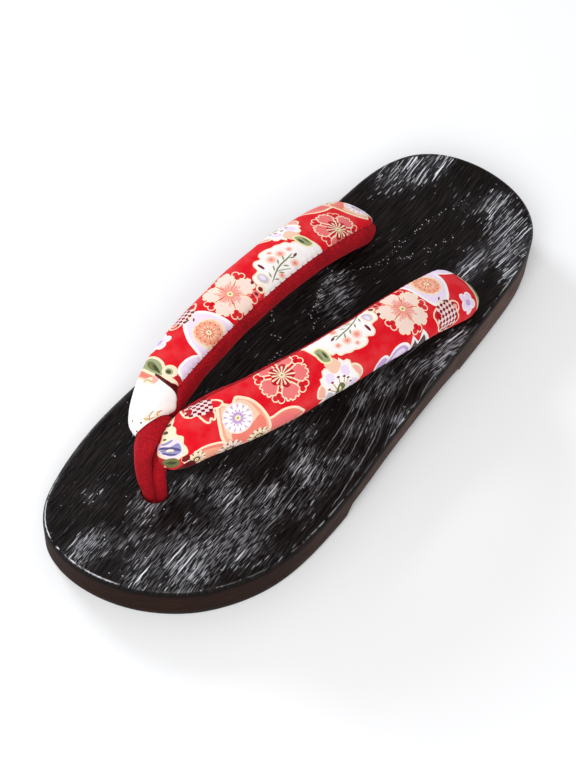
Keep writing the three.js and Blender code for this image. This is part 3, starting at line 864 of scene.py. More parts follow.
def tread(name, node, end, toe, holes):
    rings = [at_height(tread_ring(inset, end, toe), z) for inset, z in PLATE_SIDE]
    top, faces = sheet(rings[0][:, :2], pockets(holes))
    parts = [(np.concatenate(rings), [f[::-1] for f in grid_faces(len(rings), len(rings[0]))]),
             (at_height(top, TREAD), faces), tread_face(rings[-1][:, :2], end, toe, holes)]
    for h in holes:
        rims = [at_height(pockets([h], wider)[0], z) for wider, z in POCKET_SIDE]
        parts.append((np.concatenate(rims), grid_faces(len(rims), HOLE_SIDES)))
    make_piece(name, *weld(parts), tread_rubber, "tread_rubber", [node])
    rows = line_mesh(name, rib_lines(end, toe, holes))
    grow(name + "_ribs", rows, rib_net, RIB, tread_rubber)


tread("toe_plate", "toe_tread", end=-34, toe=True, holes=[0])
tread("heel_plate", "heel_tread", end=47, toe=False, holes=[1, 2])

# %% [markdown]
# ## The strap, unrolled
# Each branch of the strap is a padded tube whose section turns and widens along its length. Cloth
# is cut flat, so the print and the seams are planned on the unrolled tube: u counts millimetres
# along it from the nose, and v counts round it from its top line, positive to the outside.

# %% The unrolled surface of a branch
CELL, SIDES, ROUNDER, CAP_ROWS, MIDDLE_ROWS = 0.25, 256, 0.85, 33, 240
ROUND = np.arange(-32, 32.01, CELL)
TURN = np.linspace(-math.pi, math.pi, SIDES + 1)


def unit(vectors):
    return vectors / np.maximum(np.linalg.norm(vectors, axis=-1, keepdims=True), 1e-9)


def unrolled(rows, side, nose=8.0, heel=11.0):
    first, last = rows["along"][0], rows["along"][-1]
    cap = np.linspace(0, math.pi / 2, CAP_ROWS)
    y = np.concatenate([first + nose * (1 - np.cos(cap)),
                        np.linspace(first + nose, last - heel, MIDDLE_ROWS)[1:-1],
                        (last - heel * (1 - np.cos(cap)))[::-1]])
    middle = lambda at: np.stack([smooth(rows, "across", at), at, smooth(rows, "height", at)], -1)
    heading = unit(middle(y + 0.5) - middle(y - 0.5))
    sideways = unit(np.cross(heading, (0, 0, side)))
    upward = np.cross(sideways, heading) * side
    lean = np.radians(smooth(rows, "lean", y))[:, None]
    wide = sideways * np.cos(lean) - upward * np.sin(lean)
    tall = upward * np.cos(lean) + sideways * np.sin(lean)
    closing = np.sqrt(1 - (1 - np.clip((y - first) / nose, 0, 1)) ** 2)
    closing = closing * np.sqrt(1 - (1 - np.clip((last - y) / heel, 0, 1)) ** 2)
    soft = lambda v: np.sign(v) * np.abs(v) ** ROUNDER
    width = (smooth(rows, "width", y) * closing)[:, None] * soft(np.sin(TURN))
    thick = (smooth(rows, "thick", y) * closing)[:, None] * soft(np.cos(TURN))
    ring = middle(y)[:, None] + width[..., None] * wide[:, None] + thick[..., None] * tall[:, None]
    step = np.linalg.norm(np.diff(ring, axis=1), axis=2)
    reach = np.concatenate([np.zeros((len(y), 1)), np.cumsum(step, axis=1)], axis=1)
    reach -= reach[:, SIDES // 2, None]
    out = unit(np.cross(np.gradient(ring, axis=1), np.gradient(ring, axis=0))) * side
    out[0], out[-1] = -heading[0], heading[-1]
    flat = lambda grid: np.stack([[np.interp(ROUND, reach[i], grid[i, :, c]) for i in range(len(y))]
                                  for c in range(3)], -1)
    length = np.concatenate([[0], np.cumsum(np.linalg.norm(np.diff(middle(y), axis=0), axis=1))])
    return {"u": length, "place": flat(ring), "out": flat(out), "reach": reach, "closing": closing,
            "side": side}


# %% Reading the surface between its points
def read(grid, row, column):
    """A value between the rows and columns of a grid."""
    row, column = np.clip(row, 0, len(grid) - 1.001), np.clip(column, 0, grid.shape[1] - 1.001)
    i, j = row.astype(int), column.astype(int)
    a, b = row - i, column - j
    if grid.ndim > 2:
        a, b = a[..., None], b[..., None]
    near, far = (grid[r, j] * (1 - b) + grid[r, j + 1] * b for r in (i, i + 1))
    return near * (1 - a) + far * a


def row_at(strap, u):
    return np.interp(u, strap["u"], np.arange(len(strap["u"])))


def on_strap(strap, u, v, kind):
    """The place on the plain tube, or the direction out of it."""
    return read(strap[kind], row_at(strap, u), (v - ROUND[0]) / CELL)


def around_at(strap, u, degrees):
    """The v of a turn, in degrees from the top line, at u."""
    return read(strap["reach"], row_at(strap, u), (np.radians(degrees) + math.pi) / (2 * math.pi) * SIDES)


def fullness(strap, u, low, span):
    """0 at the closed ends of a branch, rising to 1."""
    return ease((np.interp(u, strap["u"], strap["closing"]) - low) / span)


outer, inner = unrolled(OUTER, 1), unrolled(INNER, -1)
print("branch lengths in mm:", outer["u"][-1].round(1), inner["u"][-1].round(1))

# %% [markdown]
# ## How the strap is sewn
# A band of printed cotton covers the top and the outside. A band of velvet covers the inside and
# the bottom. They meet at two seams, where the padding is pulled in to a crease with small
# puckers. One function says how far the cloth stands off the plain tube at any u and v.

# %% The thong's line, which also presses on the strap
def line_through(rows, steps=12):
    """A smooth line through the rows of a table, and the radius along it."""
    p = np.column_stack([rows["across"], rows["along"], rows["height"]])
    p = np.vstack([2 * p[0] - p[1], p, 2 * p[-1] - p[-2]])
    gap = np.linalg.norm(np.diff(p, axis=0), axis=1) ** 0.5
    places, sizes = [], []
    for i in range(1, len(p) - 2):
        a, b, c = gap[i - 1], gap[i], gap[i + 1]
        start = ((p[i] - p[i - 1]) / a - (p[i + 1] - p[i - 1]) / (a + b) + (p[i + 1] - p[i]) / b) * b
        end = ((p[i + 1] - p[i]) / b - (p[i + 2] - p[i]) / (b + c) + (p[i + 2] - p[i + 1]) / c) * b
        t = np.linspace(0, 1, steps, endpoint=i == len(p) - 3)[:, None]
        places.append(between(t, p[i], p[i + 1], start, end))
        sizes.append(rows["radius"][i - 1] * (1 - t[:, 0]) + rows["radius"][i] * t[:, 0])
    return np.concatenate(places), np.concatenate(sizes)


thong_line, thong_radius = line_through(THONG)
NEAR_STRAP = slice(54, 150)  # the points of the line that lie on the strap
print("thong length in mm:", np.linalg.norm(np.diff(thong_line, axis=0), axis=1).sum().round(1))

# %% Seams and creases
SEWN = {1: {"upper": -67, "pressed": 0.4}, -1: {"upper": -52, "pressed": 2.4}}
NOSE_SEAM, LOWER_SEAM = -95, 125
CREASE, CREASE_WIDTH, PUCKER, PUCKER_PITCH, PUCKER_REACH = 0.85, 1.1, 0.13, 3.1, 3.2
CLOTH, TUCKED, SHRUNK = 0.12, 0.73, 0.75


def seams(strap, u):
    """The v of the upper and lower seam at u. The upper one turns outward towards the nose."""
    upper = NOSE_SEAM + (SEWN[strap["side"]]["upper"] - NOSE_SEAM) * ease((u - 14) / 9)
    return around_at(strap, u, upper), around_at(strap, u, LOWER_SEAM + 0 * u)


def stand_off(strap, u, v, cover):
    """Millimetres that the cloth stands off the plain tube."""
    upper, lower = seams(strap, u)
    inside = np.minimum(v - upper, lower - v)
    full = fullness(strap, u, 0.25, 0.6)
    crease = -CREASE * full * np.exp(-(inside / CREASE_WIDTH) ** 2)
    wander = 1.2 * hills(u / 11, v / 20, 11)
    pucker = np.cos(2 * math.pi * (u + wander) / PUCKER_PITCH) * np.exp(-np.abs(inside) / PUCKER_REACH)
    pucker = full * PUCKER * pucker * (0.7 + 0.5 * hills(u / 7, v / 30, 12))
    swell = 0.22 * hills(u / 13, v / 8, 13) + 0.08 * hills(u / 4, v / 4, 14)
    place = on_strap(strap, u, v, "place")
    near = np.full(u.shape, 99.0)
    for spot, radius in zip(thong_line[NEAR_STRAP], thong_radius[NEAR_STRAP]):
        near = np.minimum(near, np.linalg.norm(place - spot, axis=-1) - radius)
    pressed = -SEWN[strap["side"]]["pressed"] * np.exp(-((np.maximum(near, 0) / 2.2) ** 2))
    lift = pucker + swell * full + pressed
    if cover:
        return lift + np.where(inside < 0, 1.1 * inside - TUCKED, CLOTH + crease)
    return lift + crease - SHRUNK * (1 - np.exp(-(np.maximum(inside, 0) / 0.8) ** 2))


def stand(strap, u, v, cover, extra=0.0):
    off = stand_off(strap, u, v, cover) + extra
    return on_strap(strap, u, v, "place") + on_strap(strap, u, v, "out") * off[..., None]


# %% Tubes along a line
def tube(line, radius, count, shape, closed=False):
    """Rings round a line. shape(share along, angle, radius) gives each point's distance from it."""
    if closed:
        heading, sideways = unit(np.roll(line, -1, 0) - np.roll(line, 1, 0)), (0, 0, 1)
        side = unit(np.cross(heading, sideways))
    else:
        heading, sideways = unit(np.gradient(line, axis=0)), np.array((1, 0, 0))
        side = unit(sideways - heading * (heading @ sideways)[:, None])
    front = np.cross(heading, side)
    angle = np.linspace(0, 2 * math.pi, count, endpoint=False)
    far = shape(np.linspace(0, 1, len(line), endpoint=not closed)[:, None], angle[None, :], radius[:, None])
    rings = line[:, None] + far[..., None] * (np.cos(angle)[None, :, None] * side[:, None]
                                              + np.sin(angle)[None, :, None] * front[:, None])
    if closed:
        faces = [tuple(i % (len(line) * count) for i in f) for f in grid_faces(len(line) + 1, count)]
        return rings.reshape(-1, 3), faces
    return np.concatenate([rings.reshape(-1, 3), line[[0, -1]]]), capped_faces(len(line), count)


def thong_section(share, angle, radius):
    away = (angle - 2.45 - 0.25 * np.sin(5 * share) + math.pi) % (2 * math.pi) - math.pi
    fold = 0.30 * np.exp(-((away / 0.10) ** 2)) - 0.28 * np.exp(-(((away + 0.24) / 0.16) ** 2))
    wrinkle = 0.10 * hills(share * 26 + 0.4 * np.sin(angle), angle * 1.4, 21)
    wrinkle = wrinkle + 0.05 * hills(share * 60, angle * 2.5, 22)
    return plain_section(share, angle, radius) + fold + wrinkle


def plain_section(share, angle, radius):
    return radius * (1 + 0.06 * np.cos(2 * angle))


# %% The room the thong takes
CLEARANCE = 0.35
room = new_mesh("room_for_thong", *tube(thong_line, thong_radius + CLEARANCE, 48, plain_section))


def open_for_thong(made):
    """Takes the thong's room out of a piece, so that the thong comes out through the cloth."""
    tool = put("tool", room)
    modifier = made.modifiers.new("opening", "BOOLEAN")
    modifier.operation, modifier.solver, modifier.object = "DIFFERENCE", "EXACT", tool
    opened = bpy.data.meshes.new_from_object(made.evaluated_get(bpy.context.evaluated_depsgraph_get()))
    made.modifiers.remove(modifier)
    bpy.data.objects.remove(tool)
    opened.name, made.data = made.name, opened


# %% The padded velvet tubes
def padding(name, strap, count=120, step=0.55):
    u, cap = strap["u"][1:-1], CAP_ROWS - 2
    rows = np.concatenate([u[:cap], np.arange(u[cap], u[-cap - 1], step), u[-cap:]])
    low, high = (around_at(strap, rows, turn + 0 * rows)[:, None] for turn in (-179.99, 179.99))
    v = low + (high - low) * np.linspace(0, 1, count, endpoint=False)
    places = stand(strap, np.repeat(rows[:, None], count, 1), v, False)
    poles = [on_strap(strap, np.array([end]), np.array([0.0]), "place")[0] for end in (0, strap["u"][-1])]
    faces = capped_faces(len(rows), count)
    if strap["side"] < 0:
        faces = [f[::-1] for f in faces]
    places = np.concatenate([places.reshape(-1, 3), poles])
    made = make_piece(name, places, faces, lining_velvet, "red_velvet", ["hanao"], finish=open_for_thong)


padding("outer_padding", outer)
padding("inner_padding", inner)

# %% [markdown]
# ## The print, drawn by hand
# The cotton carries a common pattern of plum blossoms, chrysanthemums, fans and clouds with cream
# outlines. Each figure is one small function that stacks plain shapes, the later ones on top, and
# each row of the chart calls one: its kind, its inks, its sizes, and then its places as numbers
# joined by commas. They are in millimetres, first along the print and then across it, away from
# the thong's side. The inks run flat to their edges, as in screen printing, so there is nothing
# to blend. Both covers are cut from this one chart, as they were from one cloth.

# %% Inks and plain shapes
INK = {
    "red": (226, 16, 34), "crimson": (186, 12, 30), "wine": (120, 14, 26), "maroon": (88, 6, 16),
    "cream": (252, 228, 196), "white": (251, 246, 243), "pale": (251, 222, 208), "rosy": (250, 214, 214),
    "blush": (246, 176, 160), "salmon": (240, 118, 118), "apricot": (248, 204, 176), "peach": (244, 168, 138),
    "coral": (238, 128, 112), "amber": (226, 112, 66), "lavender": (240, 222, 246), "lilac": (204, 168, 220),
    "violet": (176, 122, 198), "slate": (146, 144, 186), "indigo": (74, 72, 128), "leaf": (66, 74, 40),
    "olive": (110, 112, 66), "moss": (158, 164, 122), "butter": (248, 236, 178), "brown": (112, 52, 40),
    "gold": (192, 156, 96), "smoke": (84, 66, 72), "grey": (204, 196, 208)}


def area(points):
    return sum(a[0] * b[1] - b[0] * a[1] for a, b in zip([points[-1], *points], points)) / 2


def turned(points, s, v, turn):
    """Moves points drawn round the origin to (s, v), turned by degrees."""
    c, k = math.cos(math.radians(turn)), math.sin(math.radians(turn))
    return [(s + x * c - y * k, v + x * k + y * c) for x, y in points]


def oval(s, v, wide, tall, turn, count):
    ring = [2 * math.pi * i / count for i in range(int(count))]
    return turned([(wide * math.cos(a), tall * math.sin(a)) for a in ring], s, v, turn)


def dot(s, v, size, count):
    return oval(s, v, size, size, 0, count)


def leaf(s, v, long, wide, turn):
    steps = [(way, i / 7) for way in (1, -1) for i in range(7)]
    edge = [(way * long * (2 * t - 1), way * wide * math.sin(math.pi * t) ** 0.8) for way, t in steps]
    return turned(edge, s, v, turn)


def spoke(s, v, near, far, turn, thin, thick):
    """A stroke that runs outward from (s, v) and grows wider."""
    ends = [(near, -thin / 2), (far, -thick / 2), (far + thick * 0.4, 0), (far, thick / 2), (near, thin / 2)]
    return turned(ends, s, v, turn)


def bend(points, closed=True, steps=5):
    """A smooth curve through the points."""
    count, out = len(points), []
    for i in range(count if closed else count - 1):
        near = [(i + k) % count if closed else min(max(i + k, 0), count - 1) for k in (-1, 0, 1, 2)]
        for t in (j / steps for j in range(steps)):
            out.append(tuple(0.5 * (2 * q + (r - p) * t + (2 * p - 5 * q + 4 * r - w) * t * t
                                    + (3 * q - p - 3 * r + w) * t**3)
                             for p, q, r, w in zip(*(points[k] for k in near))))
    return out if closed else out + [points[-1]]


def widen(points, by):
    points = points if area(points) > 0 else points[::-1]
    out = []
    for before, here, after in zip([points[-1]] + points[:-1], points, points[1:] + [points[0]]):
        x, y = after[0] - before[0], after[1] - before[1]
        far = math.hypot(x, y) or 1
        out.append((here[0] + y / far * by, here[1] - x / far * by))
    return out


# %% Lines and edges
def stroke(inks, sizes, places):
    """A line with thinner ends."""
    line = bend(places, False, 4) if len(places) > 2 else places
    sides = [[], []]
    for i, here in enumerate(line):
        a, b = line[max(i - 1, 0)], line[min(i + 1, len(line) - 1)]
        x, y = b[0] - a[0], b[1] - a[1]
        far = math.hypot(x, y) or 1
        half = sizes[0] / 2 * (1 - 0.7 * abs(2 * i / (len(line) - 1) - 1) ** 4)
        for side, way in zip(sides, (1, -1)):
            side.append((here[0] - way * y / far * half, here[1] + way * x / far * half))
    return [(sides[0] + sides[1][::-1], inks[0])]


def cornered(inks, sizes, places):
    """A filled shape inside a line. A second size makes the inner half of the line another width."""
    fill, line = inks
    return [(widen(places, sizes[0] / 2), line), (widen(places, -sizes[-1] / 2), fill)]


def chequered(inks, sizes, places):
    """A plum outline filled with red, with a block of slanting chequers on it."""
    wide, tall, turn, step, stretch, slant = sizes
    out = cornered(("red", "cream"), (0.7, 0.6), bend(places[1:]))
    reach_x, reach_y = int(wide / step), int(tall / step)
    for i in range(-reach_x, reach_x + 1):
        for j in range(-reach_y, reach_y + 1):
            cell = [((i + x) * step * stretch, (j + y) * step + (i + x) * step * slant)
                    for x, y in ((-0.5, -0.5), (0.5, -0.5), (0.5, 0.5), (-0.5, 0.5))]
            if math.hypot(i * step * stretch / wide, j * step / tall) < 1.02:
                cell = turned(cell, *places[0], turn)
                out.append((cell, "wine") if (i + j) % 2 else (widen(cell, 0.12), "rosy"))
    return out


# %% Large flowers
PETALS = {
    "jagged": [(0.12, 0), (0.35, 0.18), (0.55, 0.34), (0.68, 0.40), (0.77, 0.36), (0.81, 0.28), (0.92, 0.28),
               (0.95, 0.20), (0.90, 0.13), (0.99, 0.07), (0.98, -0.06), (0.90, -0.12), (0.96, -0.19),
               (0.91, -0.28), (0.81, -0.28), (0.77, -0.36), (0.67, -0.40), (0.54, -0.33), (0.34, -0.18)],
    "lobed": [(0.12, 0), (0.30, 0.17), (0.48, 0.34), (0.62, 0.43), (0.73, 0.41), (0.79, 0.32), (0.78, 0.24),
              (0.90, 0.25), (0.98, 0.18), (0.99, 0.04), (0.93, -0.04), (0.97, -0.14), (0.91, -0.25),
              (0.79, -0.24), (0.80, -0.33), (0.73, -0.41), (0.61, -0.43), (0.47, -0.33), (0.30, -0.17)]}


def blossom(inks, sizes, places):
    """Petals of the kind that the first word names, a heart of rays, and a red trefoil in each gap."""
    petal, fill, line, heart, ray = inks
    reach, turn, rays, size = sizes
    s, v = places[0]
    petal = [(x * reach, y * reach * 0.92) for x, y in PETALS[petal]]
    petals = [turned(petal, s, v, turn + 72 * k) for k in range(5)]
    out = [(widen(p, 0.2), line) for p in petals] + [(widen(p, -0.36), fill) for p in petals]
    if heart in INK:
        edge = [(reach * size * (1 + 0.14 * math.cos(math.radians(5 * a))), a) for a in range(0, 360, 9)]
        out.append(([turned([(far, 0)], s, v, turn + a)[0] for far, a in edge], heart))
    for k in range(int(rays)):
        far = reach * size * (1.08, 0.84, 0.96, 0.8)[k % 4]
        out.append((spoke(s, v, reach * 0.07, far, turn + 360 * k / rays, reach * 0.024, reach * 0.075), ray))
    for k in range(5):
        gap = turn + 36 + 72 * k
        three = [(reach * x, reach * y) for x, y in ((0.77, 0), (0.89, 0.11), (0.89, -0.11))]
        lobes = turned(three, s, v, gap)
        for size_of_lobe, sides, ink in ((0.145, 12, line), (0.105, 10, "red")):
            out += [(dot(*lobe, reach * size_of_lobe, sides), ink) for lobe in lobes]
        kite = [(reach * x, reach * y) for x, y in ((0.68, 0), (0.80, -0.05), (0.92, 0), (0.80, 0.05))]
        out.append((turned(kite, s, v, gap), "crimson"))
    return out + [(dot(s, v, reach * 0.10, 10), "butter"), (dot(s, v, reach * 0.05, 7), "moss")]


def daisy(inks, sizes, places):
    """Many narrow petals with a dark stroke between them."""
    fill, gap, ray, heart = inks
    reach, number = sizes
    s, v = places[0]
    out = [(dot(s, v, reach * 0.86, 26), gap)]
    petal = oval(reach * 0.66, 0, reach * 0.34, reach * math.sin(math.pi / number) * 0.60, 0, 12)
    for a in (360 * k / number for k in range(int(number))):
        out.append((turned(petal, s, v, a), fill))
        out.append((spoke(s, v, reach * 0.2, reach * 0.52, a, 0.1, reach * 0.07), ray))
    return out + [(dot(s, v, reach * 0.2, 10), heart), (dot(s, v, reach * 0.08, 7), "moss")]


# %% Small flowers, stamens, buds and leaves
def posy(inks, sizes, places):
    """A small flower of five round petals."""
    petals = [(*turned([(2.5, 0)], *places[0], sizes[0] + 72 * k)[0], sizes[0] + 72 * k) for k in range(5)]
    rim = [(oval(s, v, 2.2, 1.9, turn, 14), inks[0]) for s, v, turn in petals]
    return rim + [(oval(s, v, 1.7, 1.3, turn, 12), inks[1]) for s, v, turn in petals]


def stamens(inks, sizes, places):
    """Bowed threads from the first place to the others, with a bud on each."""
    (s, v), out = places[0], []
    for x, y in places[1:]:
        out += stroke(inks, sizes, [(s, v), ((s + x) / 2 + (x - s) * 0.16, (v + y) / 2 - 0.4), (x, y)])
        out.append((oval(x, y, 0.62, 0.42, 25, 9), inks[1]))
    return out


def buds(inks, sizes, places):
    out = []
    for x, y, size in places:
        shapes = (oval(x, y, size * 1.35, size * 1.2, 20, 14), oval(x, y, size * 0.85, size * 0.75, 0, 12),
                  dot(x, y, size * 0.3, 7))
        out += zip(shapes, inks)
    return out


def sprig(inks, sizes, places):
    """Leaves, each with a dark rib."""
    return [(leaf(x, y, long, wide, turn), ink) for x, y, turn in places
            for long, wide, ink in ((1.3, 0.34, inks[0]), (0.8, 0.12, inks[1]))]


def rays(inks, sizes, places):
    """Spokes round a place, by turns short and long."""
    number, turn = sizes
    return [(spoke(*places[0], 1.2, 3.6 + k % 2, turn + 360 / number * k, 0.3, 0.5), inks[0])
            for k in range(int(number))]


# %% The chart, from the nose to the white cloud
CHART = """\
# the double fan near the nose, its daisies and the two fans beside it
edged coral cream 0.8 11,3.6 14,4.9 18,5.3 22,6.6 25,8.4 27,13 20,19 12,15
patch peach 14,6.3 18,6.8 22,8.4 25,11 20,13 14,10
daisy cream brown brown butter 3.9 11 14,8
edged coral cream 0.9 41,8.2 44,7.4 48,7 52,8.2 54.4,10.6 55.2,14 48,20 40,16
patch salmon 42.5,9.6 46,8.7 50,9.2 52.4,11.4 52,14 44,14
edged peach cream 1 25,7 25.6,2.6 26.8,-1.6 27.9,-4.6 29.6,-4.1 31,-3 32.2,-2.4 33.3,-3.6 34.5,-4.5
    36.4,-3.5 38.6,-1.6 40.3,1.2 41.4,4.6 41.9,8 41,13 34,16 27,12
patch apricot 27,8 26.9,2.6 28.2,-2.6 29.8,-3.2 32.2,-1.2 34.4,-3.4 37.4,-1.6 39,2.6 39.4,7 33,10
patch coral 28,9 29,6 35,6.4 39.6,4.4 40.6,9 38,14 29,12
dots pale 32.1,2.3,5.2,5.6,0,26
daisy white lilac violet butter 5.3 13 32.1,2.3
daisy pale smoke smoke butter 5.6 13 26.4,14.2
daisy cream brown brown butter 4.6 13 37.6,13.4
# the chequered plum by the nose
chequered 4.4 3.6 14 0.95 1.3 0.3 22.8,-8 18.6,-14 18.1,-9.4 18.4,-7.4 19.6,-5.9 21.4,-5.3 21.9,-3.6
    22.6,-1.6 23.6,-0.9 24.4,-1.9 25.2,-0.9 26.2,-2.2 26.4,-4.2 28.4,-3.9 29.8,-5 28.8,-6.6 27,-7.9
    25.6,-9.4 24.6,-14
dots crimson 24.5,-3.2,1.5,1,10,12 19.9,-8.4,0.9,1.5,0,12
# the salmon plum blossom
blossom jagged salmon cream crimson cream 9.9 20 14 0.44 53.2,-4
# the white plum seen from the side
edged blush cream 0.7 61.8,11 61.6,8.6 63,6.9 65.6,6.4 66.8,9 66,13
edged blush cream 0.7 77.2,6.4 79,6.4 80.7,8.4 80.9,11.6 79,13.5 76.4,11
cornered white cream 0.4 64.6,12 65,8.6 64,6.6 64.3,4.4 65.6,4.3 66.4,2.4 67.8,2 69,2.8 71.2,1.8 73.6,2.6
    74.6,1.4 75.6,3.4 77,3.4 77.8,4.3 77.4,6.6 78,8.6 79.4,11 80.4,14 79,19 70,21 63,17 62.6,14
patch lavender 66.4,5 68.2,4.2 69.8,6 68.6,8 66.6,7.6
patch lavender 73.4,4.6 75.6,5 76,7.5 74.5,8.6 72.8,6.6
patch grey 65.2,12 66.2,11 68.5,14 68,18 65,16
patch lavender 76,11 78.6,12.6 79,16 75.6,17
patch apricot 68.4,1 70.6,-0.6 73,0.4 74.2,3.4 72.8,4.8 71,5.6 69.4,4.6
stamens gold wine 0.4 71.2,14.5 66.4,9.8 68.2,7.9 71,7.2 73.3,8.1 74.7,9.4 75.6,11.6
patch olive 69.6,12 71.2,9.6 73.2,11.8 73,16 70,16
leaves butter 71.3,13,2.2,0.5,80
# the white cloud with its sprays of buds
edged white cream 0.7 0.4 66.4,-14 66.6,-8.6 67.2,-5.6 68.2,-3.4 70.4,-4.2 72.4,-2.6 73.4,-0.8 75.2,-0.6
    76,0.9 78.2,1.3 80,2 82,2 83.6,2.6 86.4,2.8 88,2.1 88.6,0.6 89.6,0.6 91.4,1.3 93,0.2 93.6,-2.2 95.2,-2.8
    97.2,-3 98.3,-4.4 98.6,-6.4 97.4,-8.4 98,-14
buds pale blush salmon 80.3,-8.4,1.5 77.6,-2.4,1.1 81.8,-2.2,1.5 86.4,-2.3,1.7 84.4,0.6,0.9 88.2,-9.6,1.2
line olive 0.55 78.2,-4.6 81.6,-5.4 85.2,-6 89,-7.2 93.6,-9.4
line moss 0.4 83,-9.5 86,-8.2 89,-7.2
sprig moss olive 79.6,-6,20 82.4,-4.2,-60 84,-7.4,35 85.2,-4.5,-50 87.4,-8.7,40 88.6,-5.6,-55 91,-9.6,30
    92,-6.8,-65
leaves brown 77.8,-5.7,1.25,0.5,-18
dots white 91.6,-2.1,1.7,3,0,18
dots wine 91.6,-2,0.6,1.7,0,12
dots cream 95.2,-6,2.2,2.8,0,18
dots grey 95.2,-6,1.7,2.3,0,16
dots lavender 95,-5.6,0.9,1.4,0,12
# the bud's green cup, between the side plum and the cloud
edged moss butter 0.7 68.2,-5.4 68,-3.2 68.4,-0.8 69.8,0.8 71.8,1 72.4,-1.4 72,-3.8 70.6,-5.6
leaves olive 69.1,-2.6,1.9,0.42,84
leaves leaf 71,-2,1.7,0.5,84
"""
print("the chart has", CHART.count("\n"), "lines so far")

